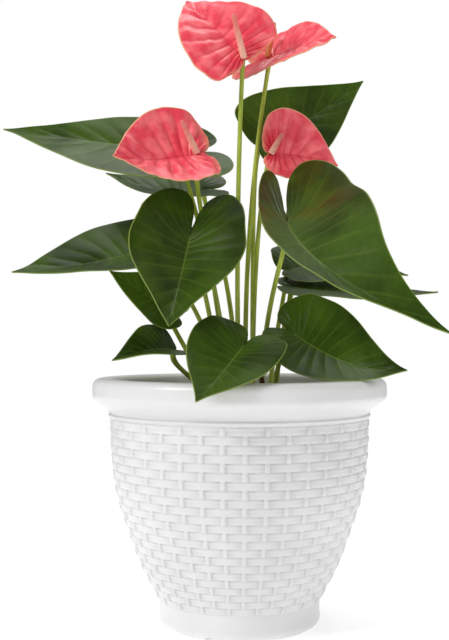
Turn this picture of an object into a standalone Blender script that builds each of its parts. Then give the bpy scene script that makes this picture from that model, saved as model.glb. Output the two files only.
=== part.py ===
"""A potted anthurium: a basket-pattern planter, its potting mix, twelve leaves and four flowers.

Frame: metres, +Z up, the origin at the middle of the planter's flat underside, -Y the front.
"""

import math
from dataclasses import dataclass

import bmesh
import bpy
from mathutils import Euler, Matrix, Vector

MM = 0.001
GAP = 0.35                      # clearance between neighbouring pieces, mm

# Planter, in mm
RIM_RADIUS = 82.0               # widest point of the rolled rim
RIM_TOP = 136.0                 # height of the planter
RIM_ROLL = 4.5                  # radius of the rim's outer edge
RIM_LOW = 127.5                 # height at which the rim's outer edge turns back in
RIM_COVE = ((75.0, 119.5), (72.6, 116.6))   # radius, height of the hollow between rim and body
RIM_MOUTH = 69.0                # radius of the opening
MOUTH_FILLET = 3.0
MOUTH_DEPTH = 16.0              # height of the straight band inside the rim
NECK_RADIUS = 72.0              # body just under the rim
WALL = 3.0
FLOOR = 4.0                     # thickness of the planter's bottom
FLOOR_FILLET = 1.5              # how far the floor is narrower than the wall above it
INSIDE_START = 16.0             # height at which the inside starts to follow the outside
FOOT_RADIUS = 45.0
FOOT_FILLET = 4.5
FOOT_WAIST = (44.7, 10.0)       # radius, height of the slight waist of the foot
BODY_CURVE = ((72.0, 114.0), (71.4, 97.0), (70.0, 81.0), (67.0, 67.0), (62.0, 52.0),
              (55.8, 35.0), (48.5, 20.5), (45.0, 14.0))   # radius, height down the woven body
BODY_STEPS = 9
TURN_STEPS = 48

# Drain reliefs under the foot and the holes they lead from, in mm
RELIEF_WIDTH = 9.0
RELIEF_DEPTH = 1.7
RELIEF_START = 15.0             # the underside is left flat inside this radius
RELIEF_COUNT = 4
RELIEF_TURN = -108.0            # degrees, heading of the first relief
HOLE_RADIUS = 4.0
HOLE_PLACE = 26.0

# Potting mix, in mm
SOIL_TOP = 117.0
SOIL_FLAT = 46.0                # radius of the level middle of the surface
SOIL_CROWN = 3.0                # how far the middle of the surface stands above its edge
SOIL_BEVEL = 1.0
SOIL_CLEAR = 4.0                # the mix's side stops this far below its top

# Leaves and spathes
BLADE_THICKNESS = 0.8
BLADE_ROWS = 10                 # rows of faces from the notch to the tip
BLADE_COLUMNS = 2               # faces from the midrib to the margin
MIDRIB_SPREAD = 3.3             # how strongly the rows gather at the stalk
MIDRIB_EVEN = 0.04              # share of the midrib along which they stay evenly spaced
LOBE_REACH = 0.05               # share of the length over which the lobes keep the midrib's slope

# Stalks, spadices and the dry sheath
STALK_POINTS = 10
STALK_SIDES = 6
STALK_FOOT = 1.2                # a stalk's radius at its foot and at its top, over its own radius
STALK_HEAD = 0.95
SPADIX_POINTS = 6
SPADIX_SIDES = 8
SPADIX_TAPER = 0.55             # a spadix's tip radius over its base radius
SPADIX_START = 0.5              # how far along itself a spadix starts, mm
SHEATH_FOOT = (12.0, -30.0)     # mm
SHEATH_TOP = (11.5, -31.0, 138.0)
SHEATH_RADII = (2.2, 0.88)      # at its foot and at its tip, mm
SHEATH_POINTS = 5
SHEATH_SIDES = 8

# Half of a heart's margin from the notch to the tip:
# backwards in lobe lengths, forwards in blade lengths, sideways in half widths
HEART = ((0.0, 0.0, 0.0), (0.5, 0.0, 0.05), (0.86, 0.0, 0.16), (1.0, 0.0, 0.36), (0.86, 0.0, 0.62),
         (0.42, 0.0, 0.86), (0.0, 0.08, 0.99), (0.0, 0.23, 1.0), (0.0, 0.42, 0.87),
         (0.0, 0.62, 0.59), (0.0, 0.79, 0.31), (0.0, 0.91, 0.12), (0.0, 1.0, 0.0))


@dataclass
class Blade:
    """A heart-shaped blade, in mm and degrees. Its stalk meets it at place."""
    place: tuple
    heading: float              # compass direction of the midrib, from +X towards +Y
    pitch: float                # rise of the midrib above level
    roll: float                 # turn about the midrib
    length: float               # from the stalk to the tip
    width: float
    lobe: float                 # how far the two lobes reach behind the stalk
    arch: float                 # rise of the midrib's middle above the line to its tip
    sweep: float                # sideways bow of the midrib
    fold: tuple                 # degrees that the left and right halves turn up
    cup: float = 0.0            # curl of the margins, in half widths
    skew: float = 0.0           # how much wider the left half is than the right


@dataclass
class Stalk:
    """A round stalk from the potting mix to its blade, in mm."""
    foot: tuple                 # where it leaves the mix
    lean: tuple                 # offset of the curve's lower handle from straight up
    rise: float                 # length of the lower handle
    knee: float                 # length of the upper handle
    radius: float = 1.3


LEAVES = {
    "leaf_upper_left": (Blade((-32, 18, 267), -175, 6, -40, 104, 64, 22, 5, 11, (6, 14), 0.0, 0.2),
                        Stalk((-5, 7), (-4, -2), 80, 12)),
    "leaf_mid_left": (Blade((-48, 18, 211), -159, -11, -28, 85, 61, 22, -4, -2, (14, 16)),
                      Stalk((-11, 13), (-2, 3), 60, 18)),
    "leaf_behind_left": (Blade((-21.5, 43, 248), -176, 9, -31, 59, 48, 15, -4, 2, (15, 16)),
                         Stalk((-1, 16), (0, 8), 80, 16)),
    "leaf_front_left": (Blade((-27, -17, 215), -99, -42, -7, 76, 68, 34, -6.5, -1, (23, 29), 0.03, 0.03),
                        Stalk((-10, -2), (-4, 2), 60, 18)),
    "leaf_small_left": (Blade((-38, -18, 174), -168, 32, -63, 39, 32, 9, -0.6, 0.4, (17, 18)),
                        Stalk((-16, 4), (-4, 0), 25, 12)),
    "leaf_low_front": (Blade((2, -52, 155), -115, -25, -18, 62, 51, 12, -3, -0.8, (17, 23)),
                       Stalk((3, -20), (0, -4), 20, 10)),
    "leaf_low_left": (Blade((-35, -26, 152), -138, -7, -30, 42, 35, 4, 3.8, 1.7, (22, 21), 0.03),
                      Stalk((-13, -13), (-4, -2), 18, 10)),
    "leaf_low_right": (Blade((28, -26, 161.3), -24, -17, 41, 66, 57, 13, -9, 0, (20, 16)),
                       Stalk((17, -15), (2, 0), 22, 10)),
    "leaf_big_right": (Blade((25, -37, 219.5), -46, -30, 24, 119, 60, 45, 9, -21, (30, 24), 0.0, 0.4),
                       Stalk((12, -6), (0, 4), 60, 20)),
    "leaf_behind_right": (Blade((28.5, 30, 198.5), 7, -2, 28, 74, 45, 5, 2, 4.7, (18, 6)),
                          Stalk((17, 8), (2, 5), 40, 14)),
    "leaf_under_right": (Blade((30.5, 12, 187.5), -4, -2, 13, 83, 46, 9, -2.7, 1.7, (13, 5), -0.06, -0.05),
                         Stalk((20, -2), (1, 3), 35, 12)),
    "leaf_upper_right": (Blade((13, 42, 274), 18, 33, 65, 82, 58, 4, -3, -1, (10, 10), 0.0, 0.05),
                         Stalk((8, 17), (0, 8), 90, 20)),
}


@dataclass
class Flower:
    """A spathe, its spadix and its stalk."""
    spathe: Blade
    stalk: Stalk
    arrive: tuple               # direction in which the stalk meets the spathe
    spike: tuple                # direction of the spadix
    spike_length: float
    spike_radius: float = 1.9


FLOWERS = {
    "flower_top": Flower(Blade((2, -22, 310), 143, 44, -50, 56, 55, 3, 6.6, 2.2, (17, 3), -0.03, -0.03),
                         Stalk((0, -4), (-2, 8), 70, 50), (0.05, -0.3, 0.95), (-0.27, -0.28, 0.93), 24),
    "flower_left": Flower(Blade((-23, -39, 255), -136, -7, -53, 56, 51, 10, -6.4, -2.3, (14, 14), 0.06, -0.12),
                          Stalk((-5, -11), (-8, 23), 80, 52), (0.06, -0.96, 0.26), (-0.42, -0.5, 0.76), 20),
    "flower_right": Flower(Blade((18, 12, 264), 20, -6, 76, 43.5, 42, 5, 0.5, 2, (30, 14), 0.0, 0.24),
                           Stalk((7, -13), (0, 10), 60, 40), (0.15, -0.7, 0.7), (0.46, -0.45, 0.76), 14),
    "flower_top_right": Flower(Blade((17, 12, 319), -50, 1, 39, 54, 50, 20, 0, 1.4, (16, 4)),
                               Stalk((4, 3), (-2, 16), 70, 60), (0.16, -0.25, 0.96), (0.25, -0.1, 0.96), 20),
}

COLOURS = {                     # base colour, roughness
    "planter_plastic": ((0.83, 0.83, 0.83), 0.35),
    "potting_mix": ((0.09, 0.06, 0.04), 0.95),
    "leaf_green": ((0.04, 0.09, 0.02), 0.4),
    "petiole_green": ((0.26, 0.34, 0.07), 0.5),
    "spathe_pink": ((0.8, 0.12, 0.16), 0.35),
    "spadix_cream": ((0.85, 0.5, 0.38), 0.6),
    "dry_sheath": ((0.16, 0.1, 0.05), 0.9),
}


def clear_scene():
    for thing in list(bpy.data.objects):
        bpy.data.objects.remove(thing, do_unlink=True)


def material(name):
    """The named Principled BSDF material, made the first time it is asked for."""
    found = bpy.data.materials.get(name)
    if found:
        return found
    colour, roughness = COLOURS[name]
    made = bpy.data.materials.new(name)
    made.use_nodes = True
    shader = made.node_tree.nodes["Principled BSDF"]
    shader.inputs["Base Color"].default_value = (*colour, 1.0)
    shader.inputs["Roughness"].default_value = roughness
    return made


def make_object(name, mesh_data, slot):
    """An object for a bmesh, in the scene and with its material."""
    mesh = bpy.data.meshes.new(name)
    bmesh.ops.recalc_face_normals(mesh_data, faces=mesh_data.faces)
    mesh_data.to_mesh(mesh)
    mesh_data.free()
    mesh.shade_smooth()
    mesh.materials.append(material(slot))
    made = bpy.data.objects.new(name, mesh)
    bpy.context.scene.collection.objects.link(made)
    return made


def smooth_curve(points, count):
    """Points read from a smooth curve that passes through all the given points."""
    rows = [Vector(point) for point in points]
    rows = [2 * rows[0] - rows[1]] + rows + [2 * rows[-1] - rows[-2]]
    curve = []
    for step in range(count):
        position = step * (len(points) - 1) / (count - 1)
        cell = min(int(position), len(points) - 2)
        part = position - cell
        a, b, c, d = rows[cell:cell + 4]
        curve.append(0.5 * (2 * b + (c - a) * part + (2 * a - 5 * b + 4 * c - d) * part ** 2
                            + (3 * b - a - 3 * c + d) * part ** 3))
    return curve


def arc(centre, radius, start, end, count):
    """Points of a radius and height arc, from one angle to another in degrees."""
    angles = [math.radians(start + (end - start) * step / (count - 1)) for step in range(count)]
    return [(centre[0] + radius * math.cos(a), centre[1] + radius * math.sin(a)) for a in angles]


def turned(profile):
    """A closed solid turned from (radius, height) points in mm that start and end on the axis."""
    solid = bmesh.new()
    rings = []
    for radius, height in profile:
        if radius < 1e-6:
            rings.append([solid.verts.new((0.0, 0.0, height * MM))])
            continue
        angles = [2 * math.pi * step / TURN_STEPS for step in range(TURN_STEPS)]
        rings.append([solid.verts.new((radius * MM * math.cos(a), radius * MM * math.sin(a), height * MM))
                      for a in angles])
    for upper, lower in zip(rings, rings[1:]):
        for step in range(TURN_STEPS):
            after = (step + 1) % TURN_STEPS
            corners = [upper[step % len(upper)], upper[after % len(upper)],
                       lower[after % len(lower)], lower[step % len(lower)]]
            solid.faces.new(list(dict.fromkeys(corners)))
    return solid


def body_outline():
    """Radius and height down the outside of the body, from the rim to the foot."""
    return [(point.x, point.y) for point in smooth_curve([(r, z, 0.0) for r, z in BODY_CURVE], BODY_STEPS)]


def inner_wall():
    """Radius and height up the inside of the planter's wall."""
    return [(radius - WALL, height) for radius, height in reversed(body_outline()) if height > INSIDE_START]


def planter_profile():
    """The planter's section: out along its floor, up its inside, over the rim and down its outside."""
    wall = inner_wall()
    edge = RIM_RADIUS - RIM_ROLL
    profile = [(0.0, FLOOR), (wall[0][0] - FLOOR_FILLET, FLOOR), *wall, (RIM_MOUTH, RIM_TOP - MOUTH_DEPTH)]
    profile += arc((RIM_MOUTH + MOUTH_FILLET, RIM_TOP - MOUTH_FILLET), MOUTH_FILLET, 180, 90, 3)
    profile += [(0.5 * (RIM_MOUTH + RIM_RADIUS), RIM_TOP)]
    profile += arc((edge, RIM_TOP - RIM_ROLL), RIM_ROLL, 90, 0, 4)
    profile += arc((edge, RIM_LOW), RIM_ROLL, 0, -50, 3)
    profile += [*RIM_COVE, *body_outline(), FOOT_WAIST]
    profile += arc((FOOT_RADIUS - FOOT_FILLET, FOOT_FILLET), FOOT_FILLET, 0, -90, 4)
    return profile + [(0.0, 0.0)]


def build_planter():
    """The planter: a turned shell with drain reliefs and holes cut through its bottom."""
    planter = make_object("planter", turned(planter_profile()), "planter_plastic")
    for index in range(RELIEF_COUNT):
        heading = math.radians(RELIEF_TURN + 360.0 * index / RELIEF_COUNT)
        cut(planter, relief_cutter(heading))
        cut(planter, hole_cutter(heading))
    return planter


def cut(target, cutter):
    """Cut one object out of another with a live Boolean."""
    cutter.display_type = "WIRE"
    cutter.hide_render = True
    modifier = target.modifiers.new(cutter.name, "BOOLEAN")
    modifier.operation = "DIFFERENCE"
    modifier.object = cutter


def relief_cutter(heading):
    """A radial bar that leaves a shallow channel across the foot."""
    reach = 1.2 * FOOT_RADIUS
    bar = bmesh.new()
    bmesh.ops.create_cube(bar, size=1.0)
    scale = Vector((reach - RELIEF_START, RELIEF_WIDTH, 2 * RELIEF_DEPTH)) * MM
    bmesh.ops.scale(bar, verts=bar.verts, vec=scale)
    bmesh.ops.translate(bar, verts=bar.verts, vec=(0.5 * (reach + RELIEF_START) * MM, 0.0, 0.0))
    bmesh.ops.rotate(bar, verts=bar.verts, matrix=Matrix.Rotation(heading, 3, "Z"))
    return make_object("cutter_relief", bar, "planter_plastic")


def hole_cutter(heading):
    """A round drain hole in the roof of a channel."""
    drill = bmesh.new()
    bmesh.ops.create_cone(drill, cap_ends=True, segments=20, radius1=HOLE_RADIUS * MM,
                          radius2=HOLE_RADIUS * MM, depth=4 * FLOOR * MM)
    place = Vector((math.cos(heading), math.sin(heading), 0.0)) * HOLE_PLACE * MM
    bmesh.ops.translate(drill, verts=drill.verts, vec=place)
    return make_object("cutter_hole", drill, "planter_plastic")


def build_potting_mix():
    """The mix fills the planter from its floor to a little under the rim."""
    top_radius = NECK_RADIUS - WALL - 2 * GAP
    wall = [(radius - GAP, height) for radius, height in inner_wall() if height < SOIL_TOP - SOIL_CLEAR]
    edge = SOIL_TOP - SOIL_CROWN
    profile = [(0.0, SOIL_TOP), (SOIL_FLAT, SOIL_TOP), (top_radius - SOIL_BEVEL, edge)]
    profile += [(top_radius, edge - SOIL_BEVEL), *reversed(wall)]
    profile += [(wall[0][0] - FLOOR_FILLET, FLOOR + GAP), (0.0, FLOOR + GAP)]
    return make_object("potting_mix", turned(profile), "potting_mix")


def blade_point(blade, along, side):
    """A point of the blade's middle surface in its own frame: X along, Y left, Z up, in mm."""
    tau = along / blade.length
    ahead = max(tau, 0.0)
    behind = min(tau, 0.0)
    bow = 4 * ahead * (1 - ahead)
    slope = 4 * (1 - 2 * ahead) / blade.length
    tangent = Vector((1.0, slope * blade.sweep, slope * blade.arch)).normalized()
    normal = (Vector((0, 0, 1)) - tangent * tangent.z).normalized()
    left = normal.cross(tangent)
    half = 0.5 * blade.width
    angle = math.radians(blade.fold[0] if side >= 0 else blade.fold[1])
    out = abs(side)
    curl = blade.cup * (out / half) ** 2 * half
    aside = blade.sweep * (bow + 4 * behind)
    rise = blade.arch * (bow + 4 * max(behind, -LOBE_REACH))
    middle = Vector((along, aside, rise))
    return middle + left * math.copysign(out * math.cos(angle), side) + normal * (out * math.sin(angle) + curl)


def blade_surface(blade):
    """The open middle surface of a heart-shaped blade, in metres in its own frame."""
    steps = BLADE_ROWS + 1
    heart = smooth_curve(HEART, steps + 1)
    surface = bmesh.new()

    def vertex(along, side):
        return surface.verts.new(blade_point(blade, along, side) * MM)

    stalk = vertex(0.0, 0.0)
    tip = vertex(blade.length, 0.0)
    rows = []
    for step in range(1, steps):
        back, forward, side = heart[step]
        share = step / steps
        root = blade.length * (MIDRIB_EVEN * share + (1 - MIDRIB_EVEN) * share ** MIDRIB_SPREAD)
        edge = blade.length * forward - blade.lobe * back
        row = []
        for column in range(-BLADE_COLUMNS, BLADE_COLUMNS + 1):
            part = column / BLADE_COLUMNS
            wide = 1 + blade.skew if part > 0 else 1 - blade.skew
            reach = 0.5 * blade.width * side * wide
            row.append(vertex(root + (edge - root) * abs(part), reach * part))
        rows.append(row)
    for near, far in zip(rows, rows[1:]):
        for a, b, c, d in zip(near, near[1:], far[1:], far):
            surface.faces.new((a, b, c, d))
    for first, second in zip(rows[0], rows[0][1:]):
        surface.faces.new((stalk, second, first))
    for first, second in zip(rows[-1], rows[-1][1:]):
        surface.faces.new((tip, first, second))
    return surface


def turn_of(blade):
    """The rotation that places a blade: heading and pitch of its midrib, then its roll."""
    return Euler((math.radians(blade.roll), -math.radians(blade.pitch), math.radians(blade.heading)))


def build_blade(name, blade, slot):
    """A thin solid blade, placed where its stalk meets it."""
    made = make_object(name, blade_surface(blade), slot)
    made.location = Vector(blade.place) * MM
    made.rotation_euler = turn_of(blade)
    wall = made.modifiers.new("thickness", "SOLIDIFY")
    wall.thickness = BLADE_THICKNESS * MM
    wall.offset = 0.0
    return made


def blade_normal(blade):
    """The direction that the blade's upper side faces at its stalk, in the world's frame."""
    tangent = Vector((1.0, 4 * blade.sweep / blade.length, 4 * blade.arch / blade.length)).normalized()
    normal = (Vector((0, 0, 1)) - tangent * tangent.z).normalized()
    return turn_of(blade).to_matrix() @ normal


def bezier(handles, count):
    """Points of a cubic Bezier curve."""
    curve = []
    for step in range(count):
        t = step / (count - 1)
        weights = ((1 - t) ** 3, 3 * t * (1 - t) ** 2, 3 * t * t * (1 - t), t ** 3)
        curve.append(sum((weight * handle for weight, handle in zip(weights, handles)), Vector()))
    return curve


def tube(path, radii, sides):
    """A closed round solid along a path of points in mm, with a radius at each point."""
    solid = bmesh.new()
    rings = []
    across = Vector((1.0, 0.0, 0.0))
    for index, point in enumerate(path):
        ahead = path[min(index + 1, len(path) - 1)] - path[max(index - 1, 0)]
        ahead.normalize()
        across = (across - ahead * across.dot(ahead)).normalized()
        up = ahead.cross(across)
        angles = [2 * math.pi * step / sides for step in range(sides)]
        rings.append([solid.verts.new((point + (across * math.cos(a) + up * math.sin(a)) * radii[index]) * MM)
                      for a in angles])
    for near, far in zip(rings, rings[1:]):
        for step in range(sides):
            after = (step + 1) % sides
            solid.faces.new((near[step], near[after], far[after], far[step]))
    solid.faces.new(list(reversed(rings[0])))
    solid.faces.new(rings[-1])
    return solid


def build_stalk(name, stalk, end, arrival, slot):
    """A stalk that rises from the mix and meets its blade from the given direction."""
    foot = Vector((*stalk.foot, SOIL_TOP + 3 * GAP))
    handles = (foot, foot + Vector((*stalk.lean, stalk.rise)), end - arrival * stalk.knee, end)
    path = bezier(handles, STALK_POINTS)
    thinner = (STALK_FOOT - STALK_HEAD) / (STALK_POINTS - 1)
    radii = [stalk.radius * (STALK_FOOT - thinner * step) for step in range(STALK_POINTS)]
    return make_object(name, tube(path, radii, STALK_SIDES), slot)


def build_leaf(name, blade, stalk):
    """A leaf blade and its petiole, which meets the blade square from below."""
    build_blade(name + "_blade", blade, "leaf_green")
    normal = blade_normal(blade)
    end = Vector(blade.place) - normal * (0.5 * BLADE_THICKNESS + 2 * GAP)
    build_stalk(name + "_petiole", stalk, end, normal, "petiole_green")


def build_flower(name, flower):
    """A spathe with its spadix in front and its peduncle behind."""
    spathe = flower.spathe
    build_blade(name + "_spathe", spathe, "spathe_pink")
    normal = blade_normal(spathe)
    place = Vector(spathe.place)
    spike = Vector(flower.spike).normalized()
    start = place + normal * (flower.spike_radius + 0.5 * BLADE_THICKNESS + GAP) + spike * SPADIX_START
    shares = [step / (SPADIX_POINTS - 1) for step in range(SPADIX_POINTS)]
    path = [start + spike * flower.spike_length * share for share in shares]
    radii = [flower.spike_radius * (1 - (1 - SPADIX_TAPER) * share ** 2) for share in shares]
    make_object(name + "_spadix", tube(path, radii, SPADIX_SIDES), "spadix_cream")
    end = place - normal * (flower.stalk.radius + 0.5 * BLADE_THICKNESS + 2 * GAP)
    arrival = Vector(flower.arrive).normalized()
    build_stalk(name + "_peduncle", flower.stalk, end, arrival, "petiole_green")


def build_sheath():
    """The dry stub of an old leaf sheath at the foot of the plant."""
    foot = Vector((*SHEATH_FOOT, SOIL_TOP + GAP))
    shares = [step / (SHEATH_POINTS - 1) for step in range(SHEATH_POINTS)]
    path = [foot.lerp(Vector(SHEATH_TOP), share) for share in shares]
    radii = [SHEATH_RADII[0] + (SHEATH_RADII[1] - SHEATH_RADII[0]) * share for share in shares]
    return make_object("dry_sheath_stub", tube(path, radii, SHEATH_SIDES), "dry_sheath")


def main():
    clear_scene()
    build_planter()
    build_potting_mix()
    for name, (blade, stalk) in LEAVES.items():
        build_leaf(name, blade, stalk)
    for name, flower in FLOWERS.items():
        build_flower(name, flower)
    build_sheath()


main()
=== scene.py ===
"""A potted anthurium: its basket-pattern planter, potting mix, leaves and flowers, dressed for display.

Sizes are in millimetres until a mesh is made. Meshes are in metres, in the frame's own place.
"""

import logging
import math
from dataclasses import dataclass, field
from enum import Enum
from functools import cache

import bmesh
import bpy
import numpy as np
from mathutils import Euler, Matrix, Vector, noise


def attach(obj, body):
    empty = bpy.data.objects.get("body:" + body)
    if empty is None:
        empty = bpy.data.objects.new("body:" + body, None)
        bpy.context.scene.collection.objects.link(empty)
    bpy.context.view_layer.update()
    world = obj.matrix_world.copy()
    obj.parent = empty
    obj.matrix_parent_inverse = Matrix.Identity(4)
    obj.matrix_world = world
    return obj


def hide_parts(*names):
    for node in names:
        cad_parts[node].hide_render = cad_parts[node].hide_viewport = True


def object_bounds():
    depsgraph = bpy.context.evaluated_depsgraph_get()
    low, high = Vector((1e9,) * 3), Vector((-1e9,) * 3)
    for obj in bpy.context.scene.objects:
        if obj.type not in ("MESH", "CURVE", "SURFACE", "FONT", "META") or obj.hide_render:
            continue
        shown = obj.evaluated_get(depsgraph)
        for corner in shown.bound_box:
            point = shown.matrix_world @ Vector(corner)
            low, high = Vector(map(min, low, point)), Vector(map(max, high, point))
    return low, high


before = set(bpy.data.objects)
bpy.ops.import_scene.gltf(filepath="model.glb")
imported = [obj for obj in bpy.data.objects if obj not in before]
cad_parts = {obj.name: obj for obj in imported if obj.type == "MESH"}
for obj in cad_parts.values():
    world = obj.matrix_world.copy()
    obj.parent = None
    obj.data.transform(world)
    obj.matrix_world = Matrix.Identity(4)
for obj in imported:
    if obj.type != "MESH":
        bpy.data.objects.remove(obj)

MM = 0.001
BODY = "root"
LOG = logging.getLogger("anthurium")
LOW_CORNER, HIGH_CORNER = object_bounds()
Colour = tuple[float, float, float, float]


class Slot(Enum):
    """The record's material slots."""

    PLASTIC = "planter_plastic"
    MIX = "potting_mix"
    LEAF = "leaf_green"
    STALK = "petiole_green"
    SPATHE = "spathe_pink"
    SPADIX = "spadix_cream"
    SHEATH = "dry_sheath"


class Lamp(Enum):
    """The studio's soft lamps."""

    KEY = "key"
    FILL = "fill"
    TOP = "top"


# ------------------------------------------------------------------ colour and node helpers

def paint(red: int, green: int, blue: int) -> Colour:
    """A colour given as it looks on a display.

    Args:
        red, green, blue: display values from 0 to 255.

    Returns:
        The linear colour with full opacity.
    """
    shares = [value / 255 for value in (red, green, blue)]
    linear = [s / 12.92 if s <= 0.04045 else ((s + 0.055) / 1.055) ** 2.4 for s in shares]
    return (*linear, 1.0)


class Wiring:
    """A shader or geometry tree while its nodes are added and linked."""

    def __init__(self, tree: bpy.types.NodeTree) -> None:
        """Takes the tree that is to be filled."""
        self.tree = tree
        self.given = None           # a group's own inputs, once it has them

    def feed(self, node: bpy.types.Node, key: str | int, value: object) -> None:
        """Links or sets one input.

        Args:
            node: the node that receives.
            key: the input's name or place.
            value: a socket to link, or a constant.
        """
        if isinstance(value, bpy.types.NodeSocket):
            self.tree.links.new(value, node.inputs[key])
        else:
            node.inputs[key].default_value = value

    def add(self, kind: str, feeds: dict | None = None, **settings: object) -> bpy.types.Node:
        """Adds a node.

        Args:
            kind: Blender's identifier of the node type.
            feeds: values or sockets for its inputs.
            settings: values for its own properties.

        Returns:
            The new node.
        """
        node = self.tree.nodes.new(kind)
        for key, value in settings.items():
            setattr(node, key, value)
        for key, value in (feeds or {}).items():
            self.feed(node, key, value)
        return node

    def math(self, operation: str, *values: object) -> bpy.types.NodeSocket:
        """One step of arithmetic.

        Args:
            operation: the Math node's operation.
            values: its operands, as sockets or numbers.

        Returns:
            The result's socket.
        """
        node = self.add("ShaderNodeMath", operation=operation)
        for place, value in enumerate(values):
            self.feed(node, place, value)
        return node.outputs[0]

    def times(self, first: object, second: object) -> bpy.types.NodeSocket:
        """The product of two values."""
        return self.math("MULTIPLY", first, second)

    def plus(self, first: object, second: object) -> bpy.types.NodeSocket:
        """The sum of two values."""
        return self.math("ADD", first, second)

    def minus(self, first: object, second: object) -> bpy.types.NodeSocket:
        """The first value less the second."""
        return self.math("SUBTRACT", first, second)

    def blend(self, share: object, first: object, second: object) -> bpy.types.NodeSocket:
        """Mixes two colours.

        Args:
            share: how much of the second there is.
            first, second: the colours, as sockets or values.

        Returns:
            The mixed colour's socket.
        """
        node = self.add("ShaderNodeMix", data_type="RGBA")
        for place, value in ((0, share), (6, first), (7, second)):
            self.feed(node, place, value)
        return node.outputs[2]

    def ramp(self, value: object, start: object, end: object, low: float = 0.0,
             high: float = 1.0) -> bpy.types.NodeSocket:
        """A smooth step between two levels.

        Args:
            value: what is read.
            start, end: where the step begins and ends.
            low, high: its levels before and after.

        Returns:
            The level's socket.
        """
        feeds = {"Value": value, "From Min": start, "From Max": end, "To Min": low, "To Max": high}
        node = self.add("ShaderNodeMapRange", feeds, interpolation_type="SMOOTHSTEP")
        return node.outputs[0]

    def noise(self, vector: object, scale: object, detail: float = 2.0) -> bpy.types.NodeSocket:
        """Soft random values over a surface.

        Args:
            vector: the coordinates' socket.
            scale: patches per metre.
            detail: how many finer layers are added.

        Returns:
            The value's socket.
        """
        return self.add("ShaderNodeTexNoise", {"Vector": vector, "Scale": scale, "Detail": detail}).outputs[0]

    def group(self, tree: bpy.types.NodeTree, **feeds: object) -> bpy.types.Node:
        """Places a shared shader group.

        Args:
            tree: the group.
            feeds: its inputs, with underscores for spaces.

        Returns:
            The group's node.
        """
        node = self.add("ShaderNodeGroup", node_tree=tree)
        for key, value in feeds.items():
            self.feed(node, key.replace("_", " "), value)
        return node


SOCKET_TYPES = {float: "NodeSocketFloat", int: "NodeSocketInt", tuple: "NodeSocketVector",
                type(None): "NodeSocketMaterial"}


def new_group(name: str, kind: str, inputs: dict[str, object], outputs: dict[str, str]) -> Wiring:
    """An empty node group with its sockets.

    Args:
        name: the group's name.
        kind: ShaderNodeTree or GeometryNodeTree.
        inputs: names and defaults. None stands for a material.
        outputs: names and socket types.

    Returns:
        The wiring of the new group.
    """
    tree = bpy.data.node_groups.new(name, kind)
    if kind == "GeometryNodeTree":
        tree.interface.new_socket("Geometry", in_out="INPUT", socket_type="NodeSocketGeometry")
    for label, value in inputs.items():
        made = tree.interface.new_socket(label, in_out="INPUT", socket_type=SOCKET_TYPES[type(value)])
        if value is not None:
            made.default_value = value
    for label, socket_type in outputs.items():
        tree.interface.new_socket(label, in_out="OUTPUT", socket_type=socket_type)
    wiring = Wiring(tree)
    wiring.given = wiring.add("NodeGroupInput").outputs
    return wiring


@cache
def vein_group() -> bpy.types.NodeTree:
    """Masks for a blade's side veins, midrib, margin and the lobes beside its notch.

    Returns:
        A shader group that reads a blade's UV map: across it in X, from notch to tip in Y.
    """
    inputs = {"Pattern": (0.0, 0.0, 0.0), "Veins": 16.0, "Vein Width": 0.12, "Midrib Width": 0.04,
              "Margin Width": 0.03}
    wiring = new_group("blade_veins", "ShaderNodeTree", inputs,
                       {name: "NodeSocketFloat" for name in ("Veins", "Midrib", "Margin", "Lobes")})
    split = wiring.add("ShaderNodeSeparateXYZ", {0: wiring.given["Pattern"]})
    centred = wiring.minus(split.outputs[0], 0.5)
    across = wiring.times(wiring.math("ABSOLUTE", centred), 2.0)
    cell = wiring.math("FRACT", wiring.times(split.outputs[1], wiring.given["Veins"]))
    near = wiring.math("MINIMUM", cell, wiring.minus(1.0, cell))
    line = wiring.ramp(near, 0.0, wiring.given["Vein Width"], 1.0, 0.0)
    fade = wiring.minus(1.0, wiring.math("POWER", across, 3.0))
    inner = wiring.minus(1.0, wiring.given["Margin Width"])
    notch = wiring.ramp(split.outputs[1], 0.1, 0.5, 1.0, 0.0)
    wiring.add("NodeGroupOutput", {
        "Veins": wiring.times(line, fade),
        "Midrib": wiring.ramp(across, 0.0, wiring.given["Midrib Width"], 1.0, 0.0),
        "Margin": wiring.ramp(across, inner, 1.0),
        "Lobes": wiring.times(notch, wiring.ramp(across, 0.62, 0.98))})
    return wiring.tree


@cache
def mottle_group() -> bpy.types.NodeTree:
    """Uneven colour: broad soft patches, with finer ones inside.

    Returns:
        A shader group with outputs Broad and Fine, from 0 to 1.
    """
    wiring = new_group("mottle", "ShaderNodeTree", {"Vector": (0.0, 0.0, 0.0), "Scale": 40.0},
                       {"Broad": "NodeSocketFloat", "Fine": "NodeSocketFloat"})
    broad = wiring.noise(wiring.given["Vector"], wiring.given["Scale"])
    finer = wiring.times(wiring.given["Scale"], 9.0)
    fine = wiring.noise(wiring.given["Vector"], finer, 4.0)
    wiring.add("NodeGroupOutput", {"Broad": wiring.ramp(broad, 0.32, 0.68),
                                   "Fine": wiring.ramp(fine, 0.25, 0.75)})
    return wiring.tree


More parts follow.
